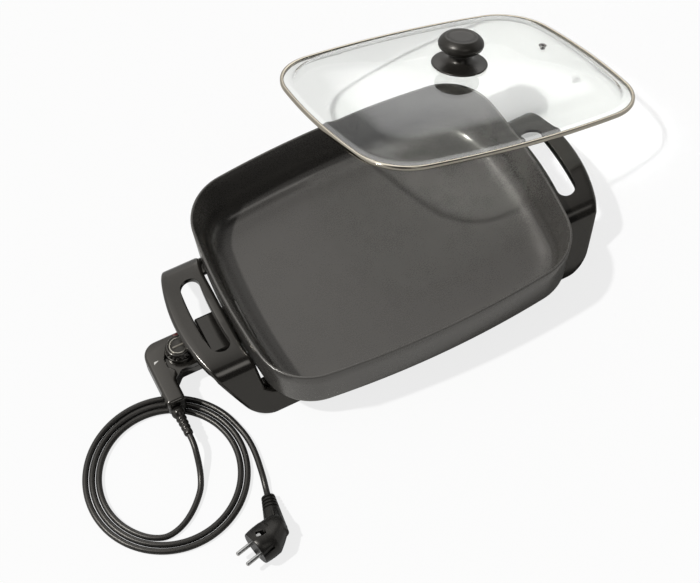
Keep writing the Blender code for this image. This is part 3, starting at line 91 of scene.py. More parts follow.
@dataclass(frozen=True)
class Finish:
    """One surface finish: its colours, its texture and its gloss."""

    name: str
    color: Point
    fleck: Point
    mottle: float = 0.3
    scale: float = 400.0
    roughness: float = 0.4
    spread: float = 0.1
    bump: float = 0.1
    metallic: float = 0.0
    specular: float = 0.5
    coat: float = 0.0
    texture: Texture = Texture.GRAIN


PAN_COAT = Finish("pan_coat", (0.090, 0.086, 0.080), (0.115, 0.110, 0.103), 0.35, 700.0, 0.28, 0.06, 0.08,
                  metallic=0.35, specular=0.4, coat=0.3)
PHENOLIC = Finish("gloss_phenolic", (0.0070, 0.0063, 0.0054), (0.0135, 0.0122, 0.0105), 0.35, 90.0, 0.19,
                  0.05, 0.02, specular=0.85)
CASING = Finish("control_casing", (0.0095, 0.0086, 0.0072), (0.017, 0.0155, 0.0135), 0.35, 260.0, 0.19,
                0.08, 0.05, specular=0.85)
KNOB_FINISH = Finish("matt_phenolic", (0.0125, 0.0115, 0.0098), (0.024, 0.022, 0.019), 0.5, 700.0, 0.33,
                     0.10, 0.15, specular=0.4)
STEEL = Finish("band_steel", (0.40, 0.365, 0.30), (0.56, 0.52, 0.45), 0.5, 60.0, 0.14, 0.06, 0.04,
               metallic=1.0, texture=Texture.BRUSHED)
DARK_STEEL = Finish("eyelet_steel", (0.16, 0.155, 0.15), (0.24, 0.235, 0.23), 0.5, 300.0, 0.30, 0.10, 0.05,
                    metallic=1.0)
DULL_STEEL = Finish("screw_steel", (0.48, 0.47, 0.45), (0.62, 0.60, 0.58), 0.5, 500.0, 0.34, 0.12, 0.08,
                    metallic=1.0)
COPPER = Finish("contact_brass", (0.62, 0.46, 0.24), (0.72, 0.56, 0.32), 0.5, 400.0, 0.30, 0.10, 0.05,
                metallic=1.0)
CERAMIC_FINISH = Finish("ceramic", (0.68, 0.65, 0.58), (0.76, 0.73, 0.67), 0.5, 500.0, 0.6, 0.10, 0.10)
CORD_FINISH = Finish("cord_sheath", (0.011, 0.0106, 0.0098), (0.022, 0.0213, 0.0198), 0.4, 900.0, 0.36,
                     0.10, 0.12, specular=0.55)
RELIEF_FINISH = Finish("relief_rubber", (0.012, 0.011, 0.010), (0.022, 0.020, 0.018), 0.4, 700.0, 0.24,
                       0.08, 0.08)
PLUG_FINISH = Finish("plug_shell", (0.0050, 0.0048, 0.0044), (0.0110, 0.0106, 0.0100), 0.5, 800.0, 0.36,
                     0.10, 0.20, specular=0.4)
PIN_FINISH = Finish("pin_steel", (0.50, 0.50, 0.49), (0.64, 0.64, 0.63), 0.4, 300.0, 0.26, 0.10, 0.05,
                    metallic=1.0)
RING_FINISH = Finish("dial_trim_metal", (0.42, 0.40, 0.35), (0.52, 0.50, 0.45), 0.4, 300.0, 0.22, 0.06,
                     0.03, metallic=0.9)
POINTER = Finish("pointer_grey", (0.20, 0.185, 0.155), (0.26, 0.245, 0.21), 0.4, 500.0, 0.35, 0.08, 0.05)
LENS_FINISH = Finish("lamp_lens", (0.095, 0.028, 0.026), (0.14, 0.05, 0.048), 0.4, 300.0, 0.14, 0.05, 0.03)
PRINT = Finish("white_print", (0.72, 0.71, 0.67), (0.80, 0.79, 0.76), 0.3, 500.0, 0.5, 0.05, 0.03)


class Groups:
    """The shader node groups that the finishes share."""

    BRUSH_STRETCH = 14.0
    FINE_DETAIL = 3.0
    BROAD_DETAIL = 4.0
    BROAD_SCALE = 22.0
    BROAD_SHARE = 0.45
    CONTRAST = (0.32, 0.68)
    BUMP_DISTANCE = 0.0002

    @staticmethod
    def _start(name: str, inputs: Sequence[tuple[str, str]],
               outputs: Sequence[tuple[str, str]]) -> bpy.types.NodeTree:
        """Make an empty group.

        Args:
            name: the group's name.
            inputs: name and socket type of each input.
            outputs: name and socket type of each output.

        Returns:
            The new node group.
        """
        tree = bpy.data.node_groups.new(name, "ShaderNodeTree")
        for label, kind in inputs:
            tree.interface.new_socket(name=label, in_out="INPUT", socket_type=kind)
        for label, kind in outputs:
            tree.interface.new_socket(name=label, in_out="OUTPUT", socket_type=kind)
        return tree

    @classmethod
    def surface(cls, texture: Texture) -> bpy.types.NodeTree:
        """Group that varies colour, roughness and height over a surface.

        Args:
            texture: even grain or drawn-out brushing.

        Returns:
            The node group, made once and then reused.
        """
        name = f"surface_{texture.value}"
        if name in bpy.data.node_groups:
            return bpy.data.node_groups[name]
        floats = ("Scale", "Mottle", "Roughness", "Spread", "Bump")
        tree = cls._start(name, [("Vector", "NodeSocketVector"), ("Color", "NodeSocketColor"),
                                 ("Fleck", "NodeSocketColor"),
                                 *((label, "NodeSocketFloat") for label in floats)],
                          [("Color", "NodeSocketColor"), ("Roughness", "NodeSocketFloat"),
                           ("Normal", "NodeSocketVector")])
        nodes, links = tree.nodes, tree.links
        given, made = nodes.new("NodeGroupInput"), nodes.new("NodeGroupOutput")
        stretch = nodes.new("ShaderNodeMapping")
        if texture is Texture.BRUSHED:
            stretch.inputs["Scale"].default_value = (1.0, 1.0, cls.BRUSH_STRETCH)
        links.new(given.outputs["Vector"], stretch.inputs["Vector"])
        fine, broad = nodes.new("ShaderNodeTexNoise"), nodes.new("ShaderNodeTexNoise")
        fine.inputs["Detail"].default_value = cls.FINE_DETAIL
        broad.inputs["Detail"].default_value = cls.BROAD_DETAIL
        broad.inputs["Scale"].default_value = cls.BROAD_SCALE
        links.new(stretch.outputs["Vector"], fine.inputs["Vector"])
        links.new(given.outputs["Scale"], fine.inputs["Scale"])
        links.new(given.outputs["Vector"], broad.inputs["Vector"])
        blend = nodes.new("ShaderNodeMath")
        blend.operation = "MULTIPLY_ADD"
        blend.inputs[1].default_value = cls.BROAD_SHARE
        links.new(broad.outputs["Fac"], blend.inputs[0])
        half = nodes.new("ShaderNodeMath")
        half.operation = "MULTIPLY"
        half.inputs[1].default_value = 1 - cls.BROAD_SHARE
        links.new(fine.outputs["Fac"], half.inputs[0])
        links.new(half.outputs[0], blend.inputs[2])
        spread = nodes.new("ShaderNodeMapRange")
        spread.inputs["From Min"].default_value, spread.inputs["From Max"].default_value = cls.CONTRAST
        links.new(blend.outputs[0], spread.inputs["Value"])
        amount = nodes.new("ShaderNodeMath")
        amount.operation = "MULTIPLY"
        links.new(spread.outputs["Result"], amount.inputs[0])
        links.new(given.outputs["Mottle"], amount.inputs[1])
        mix = nodes.new("ShaderNodeMix")
        mix.data_type = "RGBA"
        links.new(amount.outputs[0], mix.inputs["Factor"])
        links.new(given.outputs["Color"], mix.inputs[6])
        links.new(given.outputs["Fleck"], mix.inputs[7])
        centred = nodes.new("ShaderNodeMath")
        centred.operation = "SUBTRACT"
        centred.inputs[1].default_value = 0.5
        links.new(spread.outputs["Result"], centred.inputs[0])
        rough = nodes.new("ShaderNodeMath")
        rough.operation = "MULTIPLY_ADD"
        links.new(centred.outputs[0], rough.inputs[0])
        links.new(given.outputs["Spread"], rough.inputs[1])
        links.new(given.outputs["Roughness"], rough.inputs[2])
        bump = nodes.new("ShaderNodeBump")
        bump.inputs["Distance"].default_value = cls.BUMP_DISTANCE
        links.new(given.outputs["Bump"], bump.inputs["Strength"])
        links.new(fine.outputs["Fac"], bump.inputs["Height"])
        links.new(mix.outputs[2], made.inputs["Color"])
        links.new(rough.outputs[0], made.inputs["Roughness"])
        links.new(bump.outputs["Normal"], made.inputs["Normal"])
        return tree


class Paint:
    """Makes and gives out materials. The glass bends light less than real glass, for the look alone."""

    COAT_ROUGHNESS = 0.16
    REFLECTION_TINT = (1.0, 0.955, 0.88, 1.0)
    GLASS_TINT = (0.885, 0.898, 0.878, 1.0)
    GLASS_SHADOW = (0.955, 0.962, 0.952, 1.0)
    GLASS_IOR = 1.16
    WAVE_SCALE = 14.0
    WAVE_STRENGTH = 0.02
    WAVE_DEPTH = 0.001

    @staticmethod
    def of(finish: Finish) -> bpy.types.Material:
        """Material of a finish.

        Args:
            finish: the finish to make.

        Returns:
            The material, made once and then reused.
        """
        if finish.name in bpy.data.materials:
            return bpy.data.materials[finish.name]
        made = bpy.data.materials.new(finish.name)
        made.use_nodes = True
        tree = made.node_tree
        shader = tree.nodes["Principled BSDF"]
        shader.inputs["Metallic"].default_value = finish.metallic
        shader.inputs["Specular IOR Level"].default_value = finish.specular
        shader.inputs["Coat Weight"].default_value = finish.coat
        shader.inputs["Coat Roughness"].default_value = Paint.COAT_ROUGHNESS
        shader.inputs["Specular Tint"].default_value = Paint.REFLECTION_TINT
        group = tree.nodes.new("ShaderNodeGroup")
        group.node_tree = Groups.surface(finish.texture)
        group.inputs["Color"].default_value = (*finish.color, 1.0)
        group.inputs["Fleck"].default_value = (*finish.fleck, 1.0)
        for label, value in (("Scale", finish.scale), ("Mottle", finish.mottle), ("Spread", finish.spread),
                             ("Roughness", finish.roughness), ("Bump", finish.bump)):
            group.inputs[label].default_value = value
        where = tree.nodes.new("ShaderNodeTexCoord")
        tree.links.new(where.outputs["Object"], group.inputs["Vector"])
        tree.links.new(group.outputs["Color"], shader.inputs["Base Color"])
        tree.links.new(group.outputs["Roughness"], shader.inputs["Roughness"])
        tree.links.new(group.outputs["Normal"], shader.inputs["Normal"])
        return made

    @staticmethod
    def glass() -> bpy.types.Material:
        """Clear glass that lets the lamps' light through to what lies behind it."""
        made = bpy.data.materials.new("lid_glass_clear")
        made.use_nodes = True
        tree = made.node_tree
        shader = tree.nodes["Principled BSDF"]
        shader.inputs["Base Color"].default_value = Paint.GLASS_TINT
        shader.inputs["Roughness"].default_value = 0.0
        shader.inputs["IOR"].default_value = Paint.GLASS_IOR
        shader.inputs["Coat Weight"].default_value = 1.0
        shader.inputs["Coat Roughness"].default_value = 0.0
        shader.inputs["Transmission Weight"].default_value = 1.0
        noise = tree.nodes.new("ShaderNodeTexNoise")
        noise.inputs["Scale"].default_value = Paint.WAVE_SCALE
        where = tree.nodes.new("ShaderNodeTexCoord")
        tree.links.new(where.outputs["Object"], noise.inputs["Vector"])
        bump = tree.nodes.new("ShaderNodeBump")
        bump.inputs["Strength"].default_value = Paint.WAVE_STRENGTH
        bump.inputs["Distance"].default_value = Paint.WAVE_DEPTH
        tree.links.new(noise.outputs["Fac"], bump.inputs["Height"])
        tree.links.new(bump.outputs["Normal"], shader.inputs["Normal"])
        clear = tree.nodes.new("ShaderNodeBsdfTransparent")
        clear.inputs["Color"].default_value = Paint.GLASS_SHADOW
        path = tree.nodes.new("ShaderNodeLightPath")
        mix = tree.nodes.new("ShaderNodeMixShader")
        tree.links.new(path.outputs["Is Shadow Ray"], mix.inputs["Fac"])
        tree.links.new(shader.outputs["BSDF"], mix.inputs[1])
        tree.links.new(clear.outputs["BSDF"], mix.inputs[2])
        tree.links.new(mix.outputs["Shader"], tree.nodes["Material Output"].inputs["Surface"])
        return made

    @classmethod
    def node(cls, name: str, finish: Finish) -> None:
        """Dress a CAD node that stays as it is, in a finish."""
        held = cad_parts[name]
        held.data.materials.clear()
        held.data.materials.append(cls.of(finish))


class Bench:
    """Modelling moves that every sub-assembly shares."""

    @staticmethod
    def clear() -> None:
        """Deselect everything."""
        if bpy.context.object and bpy.context.object.mode != "OBJECT":
            bpy.ops.object.mode_set(mode="OBJECT")
        bpy.ops.object.select_all(action="DESELECT")

    @classmethod
    def take(cls, thing: bpy.types.Object) -> None:
        """Make one object the only selected and active one."""
        cls.clear()
        thing.select_set(True)
        bpy.context.view_layer.objects.active = thing

    @classmethod
    def loft(cls, name: str, rings: Sequence[Ring], closed: bool = False,
             angle: float = 40.0) -> bpy.types.Object:
        """Extrude a circle primitive from ring to ring.

        Args:
            name: the new piece's name.
            rings: rings with equal numbers of points.
            closed: True where the last ring joins the first, as on a hoop.
            angle: faces that meet flatter than this are shaded smooth, in degrees.

        Returns:
            The new mesh object.
        """
        cls.clear()
        bpy.ops.mesh.primitive_circle_add(vertices=len(rings[0]), radius=1.0)
        made = bpy.context.object
        made.name = made.data.name = name
        bpy.ops.object.mode_set(mode="EDIT")
        mesh = bmesh.from_edit_mesh(made.data)
        place = mesh.verts.layers.int.new("place")
        mesh.verts.ensure_lookup_table()
        for index, vert in enumerate(mesh.verts):
            vert[place], vert.co = index, rings[0][index]
        bmesh.update_edit_mesh(made.data)
        bpy.ops.mesh.select_all(action="SELECT")
        for ring in [*rings[1:], *([rings[0]] if closed else [])]:
            bpy.ops.mesh.extrude_region_move()
            mesh = bmesh.from_edit_mesh(made.data)
            place = mesh.verts.layers.int["place"]
            for vert in mesh.verts:
                if vert.select:
                    vert.co = ring[vert[place]]
            bmesh.update_edit_mesh(made.data)
        bpy.ops.mesh.select_all(action="SELECT")
        if closed:
            bpy.ops.mesh.remove_doubles(threshold=1e-6)
        else:
            bpy.ops.mesh.fill_holes(sides=0)
        bpy.ops.mesh.select_all(action="SELECT")
        bpy.ops.mesh.normals_make_consistent(inside=False)
        bpy.ops.object.mode_set(mode="OBJECT")
        cls.smooth(made, angle)
        return made

    @classmethod
    def turned(cls, name: str, profile: Sequence[Flat], matrix: Matrix | None = None, steps: int = CIRCLE,
               closed: bool = False, angle: float = 40.0) -> bpy.types.Object:
        """Turn a profile about an axis.

        Args:
            name: the new piece's name.
            profile: (radius, height) points from one end to the other.
            matrix: place of the axis, +Z along it.
            steps: points round the axis.
            closed: True where the profile goes round a bore.
            angle: shading angle in degrees.

        Returns:
            The new mesh object.
        """
        place = matrix or Matrix.Identity(4)
        rings = []
        for radius, height in profile:
            rings.append([tuple(place @ Vector((radius * math.cos(turn), radius * math.sin(turn), height)))
                          for turn in (math.tau * step / steps for step in range(steps))])
        return cls.loft(name, rings, closed, angle=angle)

    @classmethod
    def smooth(cls, thing: bpy.types.Object, angle: float = 40.0) -> None:
        """Shade smooth where faces meet flatter than an angle in degrees."""
        cls.take(thing)
        bpy.ops.object.shade_smooth_by_angle(angle=math.radians(angle))

    @classmethod
    def apply(cls, thing: bpy.types.Object, kind: str, **settings: object) -> None:
        """Add a modifier with its settings and apply it."""
        cls.take(thing)
        change = thing.modifiers.new(kind.lower(), kind)
        for key, value in settings.items():
            setattr(change, key, value)
        bpy.ops.object.modifier_apply(modifier=change.name)

    @classmethod
    def cut(cls, thing: bpy.types.Object, tool: bpy.types.Object, operation: str = "DIFFERENCE") -> None:
        """Combine a piece with a tool body, then throw the tool away."""
        cls.apply(thing, "BOOLEAN", operation=operation, object=tool, solver="EXACT")
        bpy.data.objects.remove(tool, do_unlink=True)

    @classmethod
    def block(cls, name: str, low: Sequence[float], high: Sequence[float], rounded: float = 0.0,
              matrix: Matrix | None = None) -> bpy.types.Object:
        """Rounded block between two corners.

        Args:
            name: the new piece's name.
            low: lowest corner.
            high: highest corner.
            rounded: radius of its edges.
            matrix: place of the frame that the corners are in.

        Returns:
            The new mesh object.
        """
        cls.clear()
        middle = (Vector(low) + Vector(high)) / 2
        bpy.ops.mesh.primitive_cube_add(size=1.0)
        made = bpy.context.object
        made.name = made.data.name = name
        bpy.ops.object.mode_set(mode="EDIT")
        bpy.ops.mesh.select_all(action="SELECT")
        bpy.ops.transform.resize(value=Vector(high) - Vector(low))
        bpy.ops.transform.translate(value=middle)
        if rounded:
            bpy.ops.mesh.bevel(offset=rounded, segments=4, profile=0.5)
        bpy.ops.object.mode_set(mode="OBJECT")
        if matrix is not None:
            made.data.transform(matrix)
        cls.smooth(made)
        return made

    @staticmethod
    def finish(thing: bpy.types.Object, finishes: Iterable[bpy.types.Material], body: Body, slot: Slot,
               *nodes: str) -> bpy.types.Object:
        """Dress a finished piece and put it on its body.

        Args:
            thing: the piece.
            finishes: its materials in order.
            body: what it rides on.
            slot: the record's material slot; not used.
            *nodes: the CAD nodes that it stands for.

        Returns:
            The piece.
        """
        thing.data.materials.clear()
        for made in finishes:
            thing.data.materials.append(made)
        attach(thing, body.value)
        if nodes:
            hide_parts(*nodes)
        LOG.info("%s rides on %s", thing.name, body.value)
        return thing


def eased(value: float) -> float:
    """A share held between 0 and 1, with soft ends."""
    held = min(1.0, max(0.0, value))
    return held * held * (3 - 2 * held)


def rounded_path(points: Sequence[Flat], radii: Sequence[float], steps: int = 8) -> list[Flat]:
    """Replace each corner of a polygon by an arc.

    Args:
        points: the polygon's corners in order.
        radii: radius at each corner, 0 for a sharp one.
        steps: chords in each arc.

    Returns:
        The rounded polygon's points.
    """
    made: list[Flat] = []
    count = len(points)
    for index, (point, radius) in enumerate(zip(points, radii)):
        here = Vector(point)
        if radius <= 0:
            made.append(tuple(here))
            continue
        back = (Vector(points[index - 1]) - here).normalized()
        ahead = (Vector(points[(index + 1) % count]) - here).normalized()
        half = back.angle(ahead) / 2
        centre = here + (back + ahead).normalized() * radius / math.sin(half)
        first = here + back * radius / math.tan(half) - centre
        last = here + ahead * radius / math.tan(half) - centre
        sweep = first.angle(last)
        for step in range(steps + 1):
            share = step / steps
            mixed = first * math.sin((1 - share) * sweep) + last * math.sin(share * sweep)
            made.append(tuple(centre + mixed / math.sin(sweep)))
    return made


def through(points: Sequence[Vector], spacing: float) -> list[Vector]:
    """Points about a spacing apart on one smooth curve through given ones.

    Args:
        points: points that the curve passes through.
        spacing: distance between made points.

    Returns:
        The curve's points, ends included.
    """
    padded = [points[0] * 2 - points[1], *points, points[-1] * 2 - points[-2]]
    made: list[Vector] = []
    for before, start, end, after in zip(padded, padded[1:], padded[2:], padded[3:]):
        knots = [0.0]
        for one, two in ((before, start), (start, end), (end, after)):
            knots.append(knots[-1] + math.sqrt(max((two - one).length, 1e-6)))
        steps = max(2, round((end - start).length / spacing))
        for step in range(steps):
            t = knots[1] + (knots[2] - knots[1]) * step / steps

            def mixed(one: Vector, two: Vector, low: float, high: float) -> Vector:
                """Blend of two points at t between two knots."""
                return one * ((high - t) / (high - low)) + two * ((t - low) / (high - low))

            a, b, c = (mixed(before, start, knots[0], knots[1]), mixed(start, end, knots[1], knots[2]),
                       mixed(end, after, knots[2], knots[3]))
            made.append(mixed(mixed(a, b, knots[0], knots[2]), mixed(b, c, knots[1], knots[3]), knots[1],
                              knots[2]))
    return [*made, points[-1]]


@dataclass
class BowedOutline:
    """The plan that the pan and its lid share: a rectangle with bowed sides and round corners."""

    half_length: float
    half_width: float
    corner: float
    bow_long: float
    bow_short: float
    corner_steps: int = 18
    side_steps: int = 8

    def ring(self, inset: float, z: float, least: float = 0.0) -> Ring:
        """Outline moved in by an inset, at a height.

        Args:
            inset: how far inside the plan.
            z: the ring's height.
            least: smallest corner radius as a share of the half width.

        Returns:
            The ring's points, counter-clockwise.
        """
        half_width = self.half_width - inset
        ease = half_width / self.half_width if least else 1.0
        corner = max(self.corner - inset, half_width * least)
        reach_x, reach_y = self.half_length - inset - corner, half_width - corner
        long, short = self.bow_long * ease, self.bow_short * ease
        corner_x, corner_y = reach_x, reach_y
        for _ in range(30):
            corner_x = reach_x - short * (corner_y / reach_y) ** 2
            corner_y = reach_y - long * (corner_x / reach_x) ** 2
        quarter: list[Flat] = []
        for step in range(self.side_steps):
            y = corner_y * step / self.side_steps
            slope = 2 * short * y / reach_y ** 2
            norm = math.hypot(1, slope)
            quarter.append((reach_x - short * (y / reach_y) ** 2 + corner / norm, y + corner * slope / norm))
        first = math.atan2(2 * short * corner_y / reach_y ** 2, 1)
        last = math.atan2(1, 2 * long * corner_x / reach_x ** 2)
        for step in range(self.corner_steps + 1):
            turn = first + (last - first) * step / self.corner_steps
            quarter.append((corner_x + corner * math.cos(turn), corner_y + corner * math.sin(turn)))
        for step in range(1, self.side_steps + 1):
            x = corner_x * (1 - step / self.side_steps)
            slope = 2 * long * x / reach_x ** 2
            norm = math.hypot(1, slope)
            quarter.append((x + corner * slope / norm, reach_y - long * (x / reach_x) ** 2 + corner / norm))
        upper = quarter + [(-x, y) for x, y in reversed(quarter[:-1])]
        return [(x, y, z) for x, y in upper + [(x, -y) for x, y in reversed(upper[1:-1])]]


@dataclass
class Pan:
    """The cast pan in one finish inside and out, its socket boss and lugs, and what is fixed under it."""

    plan: BowedOutline = field(default_factory=lambda: BowedOutline(0.200, 0.1544, 0.065, 0.0083, 0.0058))
    depth: float = 0.066
    floor: float = 0.004
    rim: float = 0.0032
    rim_round: float = 0.0015
    seat_width: float = 0.0033
    outer_draft: float = 0.0028
    outer_fillet: float = 0.011
    inner_draft: float = 0.0055
    inner_fillet: float = 0.030
    fillet_steps: int = 14
    inner_square: float = 3.0
    boss_face_x: float = -0.197
    boss_y: float = -0.008
    boss_half: float = 0.028
    boss_low: float = -0.01705
    boss_top: float = 0.005
    lug: Flat = (0.150, 0.088)
    lug_radius: float = 0.007
    boss_roof: float = -0.001
    boss_top_length: float = 0.019
    boss_length: float = 0.049
    boss_round: float = 0.0015
    lug_top: float = -0.002
    lug_end: float = -0.008
    lug_chamfer: float = 0.0006
    probe_bore: Flat = (0.0035, 0.047)
    pin_bore: Flat = (0.00405, 0.056)
    pin_offset: float = 0.011
    heater_z: float = -0.00805
    heater_x: Flat = (-0.118, 0.140)
    heater_half: float = 0.082
    heater_radius: float = 0.00375
    heater_bend: float = 0.015
    heater_corner: float = 0.040

    def fillet(self, inset: float, z: float, radius: float, square: float = 2.0) -> list[Flat]:
        """Quarter fillet from a flat up to a wall, as (inset, z) points; a square over 2 is tighter."""
        turns = [math.pi / 2 * step / self.fillet_steps for step in range(self.fillet_steps + 1)]
        power = 2 / square
        return [(inset + radius * (1 - math.sin(turn) ** power),
                 z + radius * (1 - max(0.0, math.cos(turn)) ** power))
                for turn in turns]

    def edge(self, inset: float, z: float, start: float, sign: int) -> list[Flat]:
        """Quarter round of the rim's edge, as (inset, z) points."""
        turns = [start + sign * math.pi / 2 * step / 4 for step in range(5)]
        return [(inset + self.rim_round * math.cos(turn), z + self.rim_round * math.sin(turn))
                for turn in turns]

    def build(self) -> None:
        """Make the pan and dress what hangs under it."""
        r = self.rim_round
        seat = self.rim + self.seat_width
        outer = self.fillet(self.outer_draft, -self.floor, self.outer_fillet)
        outside = self.depth + self.floor - self.outer_fillet
        walls = [(self.outer_draft * share, self.depth - outside * share) for share in (0.66, 0.33)]
        top = self.edge(r, self.depth - r, math.pi, -1)
        top += self.edge(self.rim - r, self.depth - r, math.pi / 2, -1)
        foot, drop = seat + self.inner_draft, self.depth - r - self.inner_fillet
        inner = [(self.rim + (foot - self.rim) * share ** 0.7, self.depth - r - drop * share)
                 for share in (0.06, 0.16, 0.33, 0.55, 0.78)]
        floor = self.fillet(foot, 0.0, self.inner_fillet, self.inner_square)[::-1]
        profile = outer + walls + top + inner + floor
        pan = Bench.loft("skillet_pan", [self.plan.ring(inset, z) for inset, z in profile], angle=50)
        near, far = self.boss_y - self.boss_half, self.boss_y + self.boss_half
        for name, length, roof in (("boss_top", self.boss_top_length, self.boss_top),
                                   ("boss_base", self.boss_length, self.boss_roof)):
            block = Bench.block(name, (self.boss_face_x, near, self.boss_low),
                                (self.boss_face_x + length, far, roof), self.boss_round)
            Bench.cut(pan, block, "UNION")
        for x in (-self.lug[0], self.lug[0]):
            for y in (-self.lug[1], self.lug[1]):
                profile = [(self.lug_radius, self.lug_top),
                           (self.lug_radius, self.lug_end + self.lug_chamfer),
                           (self.lug_radius - self.lug_chamfer, self.lug_end)]
                lug = Bench.turned("lug", profile, Matrix.Translation((x, y, 0)), 32)
                Bench.cut(pan, lug, "UNION")
        for offset, (radius, deep) in ((0, self.probe_bore), (-self.pin_offset, self.pin_bore),
                                       (self.pin_offset, self.pin_bore)):
            bore = Bench.turned("bore", [(radius, -OVERRUN), (radius, deep)],
                                Matrix.Translation((self.boss_face_x, self.boss_y + offset, self.heater_z))
                                @ Matrix.Rotation(math.pi / 2, 4, "Y"), 24)
            Bench.cut(pan, bore)
        Bench.smooth(pan, 50)
        Bench.finish(pan, [Paint.of(PAN_COAT)], Body.PAN, Slot.PAN, "pan_body")
        self.heater()
        for name in ("terminal_pin_front", "terminal_pin_rear"):
            Paint.node(name, PIN_FINISH)
        for name in ("terminal_bush_front", "terminal_bush_rear"):
            Paint.node(name, CERAMIC_FINISH)
        for name in ("guard_screw_front", "guard_screw_rear", "handle_left_screw_front",
                     "handle_left_screw_rear", "handle_right_screw_front", "handle_right_screw_rear"):
            Paint.node(name, DULL_STEEL)
        Paint.node("socket_guard", PHENOLIC)

    def heater(self) -> None:
        """Bent tube of the heating element under the floor."""
        low, high = self.boss_y - self.pin_offset, self.boss_y + self.pin_offset
        start, near, far, half = self.boss_face_x + GAP, *self.heater_x, self.heater_half
        corners = [(start, high), (near, high), (near, half), (far, half), (far, -half), (near, -half),
                   (near, low), (start, low)]
        bend, corner = self.heater_bend, self.heater_corner
        path = rounded_path(corners, [0, bend, corner, corner, corner, corner, bend, 0], 12)
        Bench.clear()
        curve = bpy.data.curves.new("heater_tube", "CURVE")
        curve.dimensions, curve.bevel_depth, curve.bevel_resolution = "3D", self.heater_radius, 5
        curve.use_fill_caps = True
        line = curve.splines.new("POLY")
        line.points.add(len(path) - 1)
        for held, (x, y) in zip(line.points, path):
            held.co = (x, y, self.heater_z, 1)
        tube = bpy.data.objects.new("heater_tube", curve)
        bpy.context.scene.collection.objects.link(tube)
        Bench.take(tube)
        bpy.ops.object.convert(target="MESH")
        Bench.smooth(bpy.context.object, 50)
        Bench.finish(bpy.context.object, [Paint.of(DULL_STEEL)], Body.PAN, Slot.STEEL, "heating_element")


